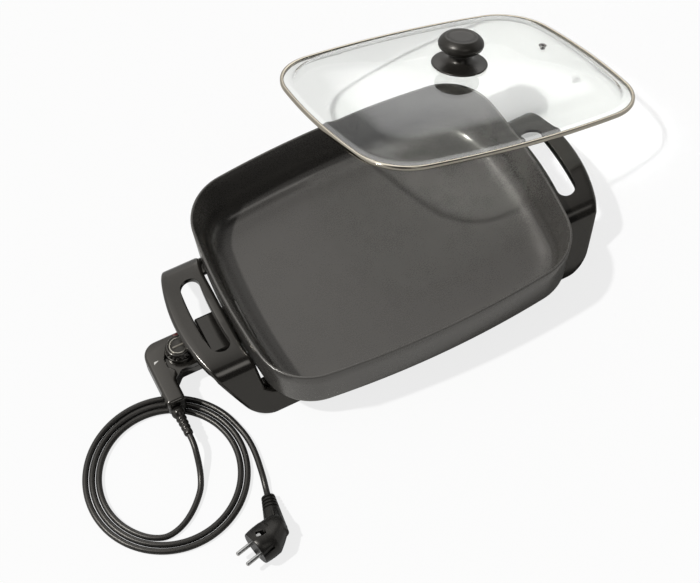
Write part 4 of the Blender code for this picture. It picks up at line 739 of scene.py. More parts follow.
@dataclass
class Handle:
    """One bridge-shaped handle: a slotted grip plate bent down into two legs."""

    side: int
    top: float = 0.040
    thickness: float = 0.011
    outer: float = 0.2595
    inner: float = 0.2015
    flat: float = 0.062
    crown: float = math.radians(10)
    crown_run: float = 0.0665
    bend: float = 0.0215
    bow: float = 0.0090
    leg_angle: float = math.radians(62)
    taper: float = 0.017
    tuck: float = 0.0375
    edge: float = 0.0042
    foot_outer: float = 0.018
    foot_inner: float = 0.006
    slot_half_length: float = 0.052
    slot_half_width: float = 0.0115
    slot_centre: float = 0.2255
    slot_bow: float = 0.0035
    slot_round: float = 0.0024
    ear_x: float = 0.150
    ear_y: float = 0.088
    ear_top: float = -0.0083
    ear_bottom: float = -0.0143
    ear_reach: float = 0.012
    ear_half: float = 0.010
    ear_round: float = 0.0012
    screw_bore: float = 0.0023
    bore_depth: float = 0.020
    wall_gap: float = 0.0012
    follow_from: float = 0.048
    follow_run: float = 0.026
    beside_from: float = -0.016
    beside_run: float = 0.012

    def stations(self) -> tuple[list[Point], float]:
        """Outer path from the middle to a foot: (y, z, tilt), and the height where the leg starts."""
        made, y, z, turn = [(0.0, self.top, 0.0)], 0.0, self.top, 0.0
        bend_run, crown_steps, bend_steps = self.bend * (self.leg_angle - self.crown), 80, 60
        for step in range(1, crown_steps + bend_steps + 1):
            crowned = step <= crown_steps
            run = self.crown_run / crown_steps if crowned else bend_run / bend_steps
            late = max(0, step - crown_steps) / bend_steps
            ahead = self.crown * min(1.0, step / crown_steps) ** 2 + (self.leg_angle - self.crown) * late
            y, z, turn = y + run * math.cos((turn + ahead) / 2), z - run * math.sin((turn + ahead) / 2), ahead
            if step % (8 if crowned else 4) == 0:
                made.append((y, z, turn))
        bend_y, bend_z, _ = made[-1]
        run = bend_z - TABLE_Z
        spread = run / math.tan(self.leg_angle)
        start = 1 - self.foot_outer / run
        round_shares = [1 - (1 - start) * (1 - math.sin(math.pi / 2 * step / 10)) for step in range(11)]
        for share in (*(start * part / 6 for part in range(1, 6)), *round_shares):
            turn = self.leg_angle + (math.pi / 2 - self.leg_angle) * max(0.0, share - 0.6) / 0.4
            made.append((bend_y + spread * share, bend_z - run * share, turn))
        return made, bend_z

    @staticmethod
    def foot_round(height: float, radius: float) -> float:
        """How far a leg's edge has drawn in at a height over the table."""
        below = max(0.0, radius - height)
        return radius - math.sqrt(max(0.0, radius ** 2 - below ** 2))

    def wall(self, y: float) -> float:
        """How far out the pan's end wall, with a gap to it, lies at a distance from the middle."""
        ring = Pan().plan.ring(0.0, 0.0)
        quarter = [(x, side) for x, side, _ in ring if x > 0 and side >= 0]
        for (x1, y1), (x2, y2) in zip(quarter, quarter[1:]):
            if y1 <= y <= y2:
                return x1 + (x2 - x1) * (y - y1) / (y2 - y1) + self.wall_gap
        return quarter[-1][0]

    def section(self, y: float, z: float, turn: float, bend_z: float, mirror: int) -> Ring:
        """Rounded rectangle across the handle at one station.

        Args:
            y: distance of the outer surface from the middle.
            z: its height.
            turn: tilt of its normal.
            bend_z: height where the leg starts.
            mirror: 1 on the far half and -1 on the near one.

        Returns:
            The section's points.
        """
        drop = max(0.0, bend_z - z) / (bend_z - TABLE_Z)
        outer = self.outer - self.bow * (y / self.flat) ** 2 - self.taper * drop
        outer -= self.foot_round(z - TABLE_Z, self.foot_outer)
        inner = self.inner - self.tuck * drop + self.foot_round(z - TABLE_Z, self.foot_inner)
        follow = eased((y - self.follow_from) / self.follow_run)
        inner += min(0.0, self.wall(y) - self.inner) * follow
        beside = eased((z - self.beside_from) / self.beside_run)
        inner += max(0.0, self.wall(y) - inner) * beside
        width, middle, half = (outer - inner) / 2, (outer + inner) / 2, self.thickness / 2
        corners = [(width, -half), (width, half), (-width, half), (-width, -half)]
        shape = rounded_path(corners, [self.edge / 2, self.edge, self.edge, self.edge / 2], 6)
        made: Ring = []
        for (x1, o1), (x2, o2) in zip(shape, shape[1:] + shape[:1]):
            made.append((x1, o1, 0))
            if abs(x1 - x2) > width:
                made += [(x1 + (x2 - x1) * share, o1, 0) for share in (0.12, 0.3, 0.5, 0.7, 0.88)]
        return [(self.side * (middle + x), mirror * (y - (half - out) * math.sin(turn)),
                 z - (half - out) * math.cos(turn)) for x, out, _ in made]

    def slot_ring(self, z: float, grow: float) -> Ring:
        """Outline of the finger slot at a height."""
        reach, radius = self.slot_half_length - self.slot_half_width, self.slot_half_width + grow
        points: list[Flat] = []
        for end in (1, -1):
            points += [(end * radius * math.cos(math.pi * step / 20), end * (reach + radius * math.sin(
                math.pi * step / 20))) for step in range(21)]
            points += [(-end * radius, end * reach * share)
                       for share in (0.75, 0.5, 0.25, 0, -0.25, -0.5, -0.75)]
        return [(self.side * (self.slot_centre + x - self.slot_bow * (y / self.slot_half_length) ** 2), y, z)
                for x, y in points]

    def build(self, name: str, node: str) -> None:
        """Make the handle.

        Args:
            name: the piece's name.
            node: the CAD node that it stands for.
        """
        half, bend_z = self.stations()
        rings = [self.section(*station, bend_z, -1) for station in reversed(half[1:])]
        rings += [self.section(*station, bend_z, 1) for station in half]
        handle = Bench.loft(name, rings, angle=35)
        under, r = self.top - self.thickness, self.slot_round
        turns = [math.pi / 2 * step / 5 for step in range(6)]
        rounded = [(self.top - r + r * math.cos(turn), r * (1 - math.sin(turn))) for turn in turns]
        levels = [(self.top + OVERRUN, r + OVERRUN), *rounded,
                  *[(2 * (self.top - self.thickness / 2) - z, grow) for z, grow in reversed(rounded)],
                  (under - OVERRUN, r + OVERRUN)]
        Bench.cut(handle, Bench.loft("slot_tool", [self.slot_ring(z, grow) for z, grow in levels]))
        for end in (-1, 1):
            y = end * self.ear_y
            xs = sorted((self.side * (self.ear_x - self.ear_reach), self.side * self.inner))
            ear = Bench.block("ear", (xs[0], y - self.ear_half, self.ear_bottom),
                              (xs[1], y + self.ear_half, self.ear_top), self.ear_round)
            Bench.cut(handle, ear, "UNION")
            hole = Bench.turned("hole", [(self.screw_bore, 0.0), (self.screw_bore, -self.bore_depth)],
                                Matrix.Translation((self.side * self.ear_x, y, 0)), 24)
            Bench.cut(handle, hole)
        Bench.smooth(handle, 32)
        Bench.finish(handle, [Paint.of(PHENOLIC)], Body.PAN, Slot.BLACK, node)


@dataclass
class Lid:
    """The loose glass lid with its steel band, vent and knob, leaning over the pan's far corner."""

    share: float = 0.984
    glass: float = 0.004
    wall: float = 0.0007
    lip: float = 0.0036
    dome_start: float = 0.0062
    rise: float = 0.0285
    crown_radius: float = 0.012
    hole: float = 0.0035
    vent_x: float = 0.122
    vent_hole: float = 0.0034
    tilt: float = math.radians(25.2)
    azimuth: float = math.radians(54.1)
    spin: float = math.radians(3.2)
    centre: Flat = (0.1736, 0.1348)
    knob_radius: float = 0.0276
    knob_height: float = 0.025
    neck: float = 0.013
    collar: float = 0.0340
    collar_height: float = 0.012
    collar_edge: float = 0.0022
    band_round: float = 0.0016
    chamfer: float = 0.0004
    least_share: float = 0.45
    eyelet: tuple[Flat, ...] = ((0.0030, -0.006), (0.0030, 0.0), (0.0048, 0.0), (0.0050, 0.0003),
                                (0.0046, 0.0008), (0.0032, 0.0010), (0.0022, 0.0007), (0.0018, 0.0),
                                (0.0018, -0.006))
    dome: tuple[Flat, ...] = ((0.045, 0.03), (0.075, 0.16), (0.115, 0.34), (0.17, 0.50), (0.25, 0.645),
                              (0.36, 0.77), (0.5, 0.875), (0.66, 0.945), (0.82, 0.985))

    def __post_init__(self) -> None:
        """Work out the plan and the leaning place."""
        s = self.share
        self.plan = BowedOutline(0.200 * s, 0.1544 * s, 0.065 * s, 0.0083 * s, 0.0058 * s)
        self.band_half = self.glass / 2 + GAP + self.wall
        lean = Matrix.Rotation(self.tilt, 4, Vector((-math.sin(self.azimuth), math.cos(self.azimuth), 0)))
        lean = lean @ Matrix.Rotation(self.spin, 4, "Z")
        lowest = min((lean @ Vector(point)).z for point in self.plan.ring(0, -self.band_half))
        self.place = Matrix.Translation((*self.centre, TABLE_Z + GAP - lowest)) @ lean

    def placed(self, ring: Ring) -> Ring:
        """A ring of the lid's own frame, moved to where the lid lies."""
        return [tuple(self.place @ Vector(point)) for point in ring]

    def dome_profile(self) -> list[Flat]:
        """Smooth (inset, rise) points of the dome from the band to the crown."""
        run, start = self.plan.half_width - self.crown_radius, self.dome_start
        keys = [Vector((start - 0.003, 0, 0)), Vector((start, 0, 0))]
        keys += [Vector((start + (run - start) * share, 0, self.rise * height))
                 for share, height in self.dome]
        keys.append(Vector((run, 0, self.rise)))
        return [(point.x, point.z) for point in through(keys, 0.004)]

    def glass_top(self, inset: float) -> float:
        """Height of the glass's upper face at an inset from the edge."""
        points = self.dome_profile()
        for (first, low), (second, high) in zip(points, points[1:]):
            if inset <= second:
                return self.glass / 2 + low + (high - low) * (inset - first) / (second - first)
        return self.glass / 2 + self.rise

    def build(self) -> None:
        """Make the glass, the band, the vent and the knob."""
        half, edge = self.glass / 2, self.wall + GAP
        dome = self.dome_profile()
        least, chamfer = self.least_share, self.chamfer
        rings = [self.plan.ring(inset, z - half, least) for inset, z in reversed(dome)]
        rings += [self.plan.ring(edge + chamfer, -half, least), self.plan.ring(edge, -half + chamfer, least),
                  self.plan.ring(edge, half - chamfer, least), self.plan.ring(edge + chamfer, half, least)]
        rings += [self.plan.ring(inset, z + half, least) for inset, z in dome]
        glass = Bench.loft("glass_dome", [self.placed(ring) for ring in rings], angle=60)
        crown = half + self.rise
        for x, radius in ((0.0, self.hole), (self.vent_x, self.vent_hole)):
            tool = Bench.turned("hole", [(radius, crown + 0.01), (radius, -0.01)],
                                self.place @ Matrix.Translation((x, 0, 0)), 32)
            Bench.cut(glass, tool)
        Bench.smooth(glass, 60)
        Bench.finish(glass, [Paint.glass()], Body.LID, Slot.GLASS, "lid_glass")
        self.band()
        self.vent()
        self.knob(crown)

    def band(self) -> None:
        """Rolled steel channel round the glass."""
        high, wall, lip = self.band_half, self.wall, self.lip
        turns = [math.pi / 2 * step / 5 for step in range(6)]
        r = self.band_round
        upper = [(r * (1 - math.cos(turn)), high - r * (1 - math.sin(turn))) for turn in turns]
        outside = [(inset, -z) for inset, z in reversed(upper)] + upper
        channel = [(lip, -high), *outside, (lip - 0.0004, high), (lip, high - 0.0003), (lip, high - wall),
                   (wall + r / 2, high - wall), (wall, high - wall - r / 2), (wall, wall + r / 2 - high),
                   (wall + r / 2, wall - high), (lip, wall - high)]
        rings = [self.placed(self.plan.ring(inset, z, 0.45)) for inset, z in channel]
        band = Bench.loft("steel_band", rings, closed=True, angle=50)
        Bench.finish(band, [Paint.of(STEEL)], Body.LID, Slot.STEEL, "lid_band")

    def vent(self) -> None:
        """Rolled eyelet of the steam vent."""
        top = self.glass_top(self.plan.half_length - self.vent_x + 0.0048) + GAP
        profile = [(radius, top + rise) for radius, rise in self.eyelet]
        eyelet = Bench.turned("steam_vent", profile, self.place @ Matrix.Translation((self.vent_x, 0, 0)),
                              40, True)
        Bench.finish(eyelet, [Paint.of(DARK_STEEL)], Body.LID, Slot.STEEL, "vent_eyelet")

    def knob(self, crown: float) -> None:
        """Collar and knob on the lid's middle.

        Args:
            crown: height of the glass's crown.
        """
        base, e = crown + GAP, self.collar_edge
        neck_z, shank = base + self.collar_height, 0.0028
        flare = [Vector((self.neck, 0, neck_z)), Vector((self.neck + e, 0, neck_z - e * 2)),
                 Vector((self.collar * 0.62, 0, base + e * 1.9)), Vector((self.collar - e / 2, 0, base + e))]
        collar = [(point.x, point.z) for point in through(flare, 0.0012)]
        collar += [(self.collar - e * 0.12, base + e * 0.82), (self.collar, base + e / 2),
                   (self.collar - e / 4, base), (shank, base), (shank, neck_z)]
        made = Bench.turned("lid_collar", collar, self.place, 96, True, 45)
        Bench.finish(made, [Paint.of(KNOB_FINISH)], Body.LID, Slot.KNOB, "knob_collar")
        foot, r, h = neck_z + GAP, self.knob_radius, self.knob_height
        top, dish = foot + h, 0.0012
        outline = [(0.95, 0.58), (0.80, 0.72), (0.58, 0.83)]
        side = [Vector((r * 0.55, 0, top - dish)), Vector((r * 0.66, 0, top - dish / 4)),
                Vector((r * 0.74, 0, top - dish / 2)), Vector((r * 0.88, 0, top - h * 0.14)),
                Vector((r * 0.97, 0, top - h * 0.27)), Vector((r, 0, top - h * 0.42)),
                *(Vector((r * wide, 0, top - h * deep)) for wide, deep in outline),
                Vector((self.neck, 0, top - h * 0.93))]
        profile = [(0.0005, top - dish), (r * 0.2, top - dish), (r * 0.4, top - dish)]
        profile += [(point.x, point.z) for point in through(side, 0.0012)]
        profile += [(self.neck, foot), (shank, foot), (shank, foot + 0.014), (0.0005, foot + 0.014)]
        knob = Bench.turned("lid_grip", profile, self.place, 96, angle=45)
        Bench.finish(knob, [Paint.of(KNOB_FINISH)], Body.LID, Slot.KNOB, "lid_knob")
        Paint.node("lid_screw", DULL_STEEL)
        Paint.node("lid_washer", RELIEF_FINISH)


@dataclass
class Control:
    """The plug-in thermostat: casing, dial, lamp lens, probe and works."""

    bottom: float = TABLE_Z + 0.0105
    top: float = 0.005
    parting: float = -0.00805
    axis_y: float = -0.008
    arm_half: float = 0.0225
    front_x: float = -0.206
    outer_x: float = -0.3028
    grip: float = 0.0218
    grip_end: float = -0.068
    elbow: float = 0.018
    inner_step: float = 0.010
    corner: float = 0.006
    round: float = 0.0040
    arm_drop: float = 0.0058
    step_round: float = 0.0014
    step_back: float = 0.0196
    step_near: float = 0.016
    step_far: float = 0.011
    step_shoulder: float = 0.010
    step_drop: float = 0.004
    step_cut: float = 0.0055
    step_reach: float = 0.0205
    step_nose: float = 0.0014
    step_bend: float = 0.004
    step_spread: float = 1.2
    turret_edge: float = 0.0012
    turret_chamfer: float = 0.0004
    turret: float = 0.0166
    dial_x: float = -0.263
    dial_radius: float = 0.0158
    crown: float = 0.0140
    lens: Flat = (-0.2585, 0.0103)
    lens_half: Flat = (0.0042, 0.0022)
    lens_low: float = 0.0022
    lens_proud: float = 0.0006
    lens_round: float = 0.0005
    window_z: Flat = (0.002, 0.010)
    room_x: Flat = (-0.283, -0.212)
    room_wall: float = 0.0025
    roof_wall: float = 0.0022
    bore_x: float = -0.202
    bore_depth: float = 0.014
    bores: tuple[Flat, ...] = ((0.0, 0.0035), (-0.011, 0.0039), (0.011, 0.0039))

    def outline(self, inset: float) -> list[Flat]:
        """Plan of the L-shaped casing, moved in by an inset."""
        inner_x = self.outer_x + self.grip
        near, far = self.axis_y - self.arm_half, self.axis_y + self.arm_half
        points = [(self.front_x - inset, far - inset), (self.outer_x + inset, far - inset),
                  (self.outer_x + inset, self.grip_end + inset), (inner_x - inset, self.grip_end + inset),
                  (inner_x - inset, near - self.inner_step),
                  (inner_x + self.inner_step - inset, near + inset),
                  (self.front_x - inset, near + inset)]
        c = self.corner
        return rounded_path(points, [c / 3, self.elbow - inset, c / 2, c / 2, c, c, c / 3], 10)

    def shell(self, name: str, low: float, high: float, rounds: Flat, node: str) -> None:
        """One half of the casing.

        Args:
            name: the piece's name.
            low: its lowest height.
            high: its highest height.
            rounds: edge radius at its bottom and its top.
            node: the CAD node that it stands for.
        """
        turns = [math.pi / 2 * step / 6 for step in range(7)]
        levels = [(rounds[0] * (1 - math.sin(turn)), low + rounds[0] * (1 - math.cos(turn)))
                  for turn in turns]
        levels += [(rounds[1] * (1 - math.cos(turn)), high - rounds[1] * (1 - math.sin(turn)))
                   for turn in turns]
        shell = Bench.loft(name, [[(x, y, z) for x, y in self.outline(inset)] for inset, z in levels],
                           angle=35)
        near, far = self.axis_y - self.arm_half, self.axis_y + self.arm_half
        roof, wall = self.top - self.arm_drop - self.roof_wall, self.room_wall
        Bench.cut(shell, Bench.block("room", (self.room_x[0], near + wall, self.bottom + wall),
                                     (self.room_x[1], far - wall, roof)))
        for offset, radius in self.bores:
            bore = Bench.turned("bore", [(radius, 0.0), (radius, -self.bore_depth)],
                                Matrix.Translation((self.bore_x, self.axis_y + offset, self.parting))
                                @ Matrix.Rotation(math.pi / 2, 4, "Y"), 32)
            Bench.cut(shell, bore)
        if high > 0:
            Bench.cut(shell, self.step_tool())
            (x, y), wide, deep = self.lens, self.lens_half[0] + GAP, self.lens_half[1] + GAP
            Bench.cut(shell, Bench.block("window", (x - wide, y - deep, self.window_z[0]),
                                         (x + wide, y + deep, self.window_z[1])))
            Bench.cut(shell, Bench.turned("seat", [(0.0033, 0.010), (0.0033, -0.004)],
                                          Matrix.Translation((self.dial_x, self.axis_y, 0)), 32))
        Bench.smooth(shell, 35)
        Bench.finish(shell, [Paint.of(CASING)], Body.CONTROL, Slot.BLACK, node)

    def step_tool(self) -> bpy.types.Object:
        """Tool that lowers the arm round the dial's turret and leaves a round edge on the grip's top."""
        back, near, far = self.dial_x - self.step_back, self.axis_y - self.step_near, self.axis_y + self.step_far
        ahead, side, end = self.front_x + OVERRUN, back + self.step_cut, near - self.step_reach
        corners = [(ahead, far), (self.dial_x - self.step_shoulder, far),
                   (back, self.axis_y - self.step_drop),
                   (back, near), (side, near - self.step_cut), (side, end), (ahead, end)]
        plan = rounded_path(corners, [0, 0, self.step_nose, self.step_bend, self.step_bend, 0, 0], 6)
        middle = Vector((self.dial_x, self.axis_y))
        r, low = self.step_round, self.top - self.arm_drop
        levels = [(low, 0.0), (self.top - r, 0.0)]
        levels += [(self.top - r + r * math.sin(turn), r * (1 - math.cos(turn)))
                   for turn in (math.pi / 2 * step / 5 for step in range(1, 6))]
        levels.append((self.top + OVERRUN, r))
        rings = []
        for z, grow in levels:
            ring = []
            for x, y in plan:
                away = (Vector((x, y)) - middle).normalized() * grow * self.step_spread
                ring.append((x + away.x, y + away.y, z))
            rings.append(ring)
        tool = Bench.loft("step_tool", rings)
        edge, chamfer = self.turret_edge, self.turret_chamfer
        turret = Bench.turned("turret", [(self.turret, low - OVERRUN), (self.turret, self.top - edge),
                                         (self.turret - chamfer, self.top - chamfer),
                                         (self.turret - edge, self.top),
                                         (self.turret - edge, self.top + 2 * OVERRUN)],
                              Matrix.Translation((self.dial_x, self.axis_y, 0)), 96)
        Bench.cut(tool, turret)
        return tool

    def build(self) -> None:
        """Make the casing, its marks and the dial, and dress the works."""
        self.shell("casing_lower", self.bottom, self.parting - GAP / 2, (self.round, 0.0005),
                   "control_lower_shell")
        self.shell("casing_upper", self.parting + GAP / 2, self.top, (0.0005, self.round),
                   "control_upper_shell")
        (x, y), (wide, deep) = self.lens, self.lens_half
        lens = Bench.block("lamp_window", (x - wide, y - deep, self.lens_low),
                           (x + wide, y + deep, self.top + self.lens_proud), self.lens_round)
        Bench.finish(lens, [Paint.of(LENS_FINISH)], Body.CONTROL, Slot.LENS, "indicator_lens")
        arrow = [(-0.2962, -0.0142), (-0.2950, -0.0108), (-0.2895, -0.0112)]
        mark = Bench.loft("index_mark",
                          [[(x, y, z) for x, y in arrow] for z in (self.top - 0.0002, self.top + 0.0002)])
        Bench.finish(mark, [Paint.of(PRINT)], Body.CONTROL, Slot.BLACK)
        self.dial()
        for name, finish in (("heat_probe", PIN_FINISH), ("contact_sleeve_front", COPPER),
                             ("contact_sleeve_rear", COPPER), ("thermostat_base", CERAMIC_FINISH),
                             ("bimetal_strip", COPPER), ("terminal_block", CERAMIC_FINISH),
                             ("control_screw_1", DULL_STEEL), ("control_screw_2", DULL_STEEL)):
            Paint.node(name, finish)

    def dial(self) -> None:
        """Fluted dial, the bright ring let into it and its pointer bar."""
        place = Matrix.Translation((self.dial_x, self.axis_y, self.top))
        steps, crown = 20 * 8, self.crown
        levels = [(self.dial_radius, GAP, 1), (self.dial_radius, 0.0030, 1),
                  (self.dial_radius - 0.0003, 0.0036, 1), (self.dial_radius - 0.0008, 0.0042, 0.3),
                  (crown + 0.0006, 0.0048, 0), (crown + 0.0001, 0.0056, 0), (crown, 0.0070, 0),
                  (crown - 0.00015, 0.0076, 0), (crown - 0.0005, 0.0081, 0), (crown - 0.0010, 0.0084, 0),
                  (crown - 0.0016, 0.0085, 0), (0.0115, 0.0083, 0), (0.0110, 0.0079, 0), (0.0108, 0.0077, 0),
                  (0.0087, 0.0077, 0), (0.0087, 0.0080, 0), (0.0078, 0.0078, 0), (0.0004, 0.0078, 0)]
        rings = []
        for radius, height, flute in levels:
            rings.append([tuple(place @ Vector((reach * math.cos(turn), reach * math.sin(turn), height)))
                          for turn, reach in ((math.tau * step / steps, radius - flute * 0.0005
                                               * (1 + math.cos(20 * math.tau * step / steps)))
                                              for step in range(steps))])
        dial = Bench.loft("dial_cap", rings, angle=35)
        Bench.finish(dial, [Paint.of(CASING)], Body.DIAL, Slot.BLACK, "control_dial")
        bar = Bench.block("dial_pointer", (-0.0066, -0.0011, 0.0072), (0.0066, 0.0011, 0.0088), 0.0006, place)
        Bench.finish(bar, [Paint.of(POINTER)], Body.DIAL, Slot.BLACK)
        profile = [(0.0105, 0.0079), (0.0105, 0.0086), (0.0102, 0.0089), (0.0093, 0.0089), (0.0090, 0.0086),
                   (0.0090, 0.0079)]
        ring = Bench.turned("dial_trim", profile, place, 96, True)
        Bench.finish(ring, [Paint.of(RING_FINISH)], Body.DIAL, Slot.STEEL, "dial_ring")
        Paint.node("dial_shaft", DULL_STEEL)


@dataclass
class Plug:
    """Angled two-pin plug lying on the table."""

    face: Point = (-0.2860, -0.2600, 0.0200)
    azimuth: float = math.radians(193.5)
    roll: float = math.radians(18)
    neck_root: Flat = (-0.0280, 0.0035)
    neck_tip: Flat = (-0.0510, -0.0455)
    root_half: Flat = (0.0130, 0.0105)
    tip_half: Flat = (0.0078, 0.0072)
    groove: float = 0.0017
    recess_round: float = 0.0006
    clip_at: float = 0.0186
    clip_half: float = 0.0010
    recesses: tuple[tuple[float, float, float, Flat, float], ...] = (
        (-0.0185, -0.0095, 0.30, (0.0046, 0.0088), 0.0138),
        (-0.0125, 0.0012, -0.42, (0.0056, 0.0034), 0.0095),
        (-0.0400, -0.0150, 0.34, (0.0008, 0.0095), 0.0098))
    sections: tuple[tuple[float, float, float, float, float], ...] = (
        (0.0, 0.0, 0.0186, 0.0186, 1.0), (-0.0010, 0.0, 0.0194, 0.0194, 1.0),
        (-0.0060, 0.0, 0.0198, 0.0190, 0.92), (-0.0120, 0.0, 0.0200, 0.0182, 0.84),
        (-0.0195, 0.0, 0.0200, 0.0168, 0.78), (-0.0215, -0.0003, 0.0194, 0.0163, 0.78),
        (-0.0300, -0.0030, 0.0166, 0.0142, 0.80), (-0.0380, -0.0055, 0.0132, 0.0122, 0.86),
        (-0.0425, -0.0070, 0.0090, 0.0092, 0.95))

    def __post_init__(self) -> None:
        """Work out the plug's place: +X along its pins, +Y across them."""
        x, y, z = self.face
        self.place = Matrix.Translation((x, y, TABLE_Z + z)) @ Matrix.Rotation(self.azimuth, 4, "Z")
        self.place = self.place @ Matrix.Rotation(self.roll, 4, "X")
        self.entry = self.place @ Vector((*self.neck_tip, 0))
        run = Vector((self.neck_tip[0] - self.neck_root[0], self.neck_tip[1] - self.neck_root[1],
                      0)).normalized()
        self.heading = self.place.to_3x3() @ run

    def build(self) -> list[bpy.types.Object]:
        """Make the plug's shell and dress its metal.

        Returns:
            The pieces that go with the cord.
        """
        def squared(value: float, power: float) -> float:
            """Sine or cosine drawn out towards a rounded square."""
            return math.copysign(abs(value) ** power, value)

        rings = [[tuple(self.place @ Vector((u, v + half_v * squared(math.cos(turn), power),
                                             half_w * squared(math.sin(turn), power))))
                  for turn in (math.tau * step / CIRCLE for step in range(CIRCLE))]
                 for u, v, half_v, half_w, power in self.sections]
        shell = Bench.loft("plug_shell", rings, angle=40)
        Bench.cut(shell, self.neck(), "UNION")
        for u, v, turn, (half_u, half_t), low in self.recesses:
            place = self.place @ Matrix.Translation((u, v, 0)) @ Matrix.Rotation(turn, 4, "Z")
            Bench.cut(shell, Bench.block("recess", (-half_u, -half_t, low), (half_u, half_t, 0.03),
                                         self.recess_round, place))
        for side in (-1, 1):
            middle = side * self.clip_at
            Bench.cut(shell, Bench.block("clip_slot", (-0.0150, middle - self.clip_half, 0.0030),
                                         (0.002, middle + self.clip_half, 0.0200), 0, self.place))
        Bench.smooth(shell, 40)
        Bench.finish(shell, [Paint.of(PLUG_FINISH)], Body.CONTROL, Slot.PLUG, "plug_body")
        metal = ("plug_pin_1", "plug_pin_2", "earth_clip_top", "earth_clip_bottom")
        for name in metal:
            Paint.node(name, PIN_FINISH)
        return [shell, *(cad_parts[name] for name in metal)]

    def neck(self) -> bpy.types.Object:
        """Tapered neck with its grooves."""
        root, tip = Vector((*self.neck_root, 0)), Vector((*self.neck_tip, 0))
        across = Vector((-(tip - root).y, (tip - root).x, 0)).normalized()
        shares = [(0.0, 0.0), (0.3, 0.0), (0.62, 0.0)]
        pitch = 0.34 / 8
        for number in range(4):
            start = 0.62 + pitch * (number * 2 + 0.6)
            shares += [(start, 0.0), (start + pitch * 0.15, 0.8), (start + pitch * 0.3, 1.0),
                       (start + pitch * 0.7, 1.0), (start + pitch * 0.85, 0.8), (start + pitch, 0.0)]
        shares += [(0.985, 0.0), (1.0, 0.5)]
        rings = []
        for share, groove in shares:
            half_v, half_w = (a + (b - a) * share - groove * self.groove
                              for a, b in zip(self.root_half, self.tip_half))
            centre = root + (tip - root) * share
            rings.append([tuple(self.place @ (centre + across * half_v * math.cos(turn)
                                              + Vector((0, 0, half_w * math.sin(turn)))))
                          for turn in (math.tau * step / 48 for step in range(48))])
        return Bench.loft("neck", rings)


@dataclass
class Cord:
    """The mains cord: its relief, its lead down to the table, its flat coil and its tail to the plug."""

    diameter: float = 0.0070
    start: Point = (-0.2945, -0.068, -0.011)
    relief_length: float = 0.036
    relief_root: float = 0.0070
    relief_tip: float = 0.0050
    coil_centre: Flat = (-0.334, -0.129)
    coil_radius: float = 0.076
    coil_pitch: float = 0.0076
    coil_start: float = math.radians(-127.5)
    coil_steps: int = 62
    coil_turn_steps: int = 24
    lift: float = 0.0001
    ribs: tuple[tuple[float, float, float, float], ...] = (
        (0.000, 0.011, 0.0080, 0.0052), (0.011, 0.017, 0.0062, 0.0047), (0.017, 0.023, 0.0058, 0.0045),
        (0.023, 0.029, 0.0055, 0.0044), (0.029, 0.036, 0.0052, 0.0046))
    lead: tuple[Point, ...] = (
        (-0.2945, -0.1115, 0.0226), (-0.2952, -0.1195, 0.0212), (-0.2972, -0.1300, 0.0168),
        (-0.2998, -0.1405, 0.0110), (-0.3035, -0.1510, 0.0064), (-0.3085, -0.1610, 0.0042),
        (-0.3165, -0.1710, 0.0036), (-0.3275, -0.1815, 0.0036), (-0.3400, -0.1900, 0.0036),
        (-0.3530, -0.1950, 0.0036), (-0.3660, -0.1958, 0.0036))
    tail: tuple[Point, ...] = (
        (-0.2378, -0.1195, 0.0036), (-0.2361, -0.1320, 0.0036), (-0.2360, -0.1450, 0.0037),
        (-0.2372, -0.1580, 0.0039), (-0.2392, -0.1710, 0.0044), (-0.2414, -0.1830, 0.0054))

    def coil_point(self, step: float) -> Vector:
        """Centre of the cord at a step round the flat coil."""
        turns = step / self.coil_turn_steps
        angle, radius = self.coil_start - math.tau * turns, self.coil_radius + self.coil_pitch * turns
        x, y = self.coil_centre
        return Vector((x + radius * math.cos(angle), y + radius * math.sin(angle),
                       TABLE_Z + self.diameter / 2 + self.lift))

    def build(self, plug: Plug, with_pieces: list[bpy.types.Object]) -> None:
        """Lay the cord as one curve from the relief to the plug.

        Args:
            plug: where the cord ends.
            with_pieces: the pieces on its far end; not used.
        """
        self.relief()
        x, y, z = self.start
        leaves = Vector((x, y - self.relief_length - 2 * GAP, z))
        keys = [leaves, *(Vector((px, py, TABLE_Z + pz)) for px, py, pz in self.lead)]
        keys += [self.coil_point(step) for step in range(self.coil_steps + 1)]
        keys += [Vector((px, py, TABLE_Z + pz)) for px, py, pz in self.tail]
        keys += [plug.entry + plug.heading * 0.009, plug.entry + plug.heading * GAP]
        points = through(keys, 0.0035)
        curve = bpy.data.curves.new("mains_cord", "CURVE")
        curve.dimensions, curve.bevel_depth, curve.bevel_resolution = "3D", self.diameter / 2, 6
        curve.use_fill_caps = True
        line = curve.splines.new("POLY")
        line.points.add(len(points) - 1)
        for held, point in zip(line.points, points):
            held.co = (*point, 1)
        line.use_smooth = True
        cord = bpy.data.objects.new("mains_cord", curve)
        bpy.context.scene.collection.objects.link(cord)
        Bench.finish(cord, [Paint.of(CORD_FINISH)], Body.CONTROL, Slot.RUBBER, "cord_lead", "cord_coil",
                     "cord_tail")

    def relief(self) -> None:
        """Ribbed strain relief at the casing."""
        profile = [(0.0005, 0.006), (0.0052, 0.006), (0.0052, -GAP), (self.relief_root - 0.0012, -GAP)]
        for start, end, radius, waist in self.ribs:
            for step in range(1, 12):
                share = step / 12
                reach = waist + (radius - waist) * math.sin(math.pi * share) ** 0.7
                profile.append((reach, -GAP - start - (end - start) * share))
        profile += [(self.relief_tip - 0.0009, -GAP - self.relief_length),
                    (0.0005, -GAP - self.relief_length)]
        place = Matrix.Translation(self.start) @ Matrix.Rotation(-math.pi / 2, 4, "X")
        relief = Bench.turned("cord_relief", profile, place, 48, angle=50)
        Bench.finish(relief, [Paint.of(RELIEF_FINISH)], Body.CONTROL, Slot.RUBBER, "strain_relief")


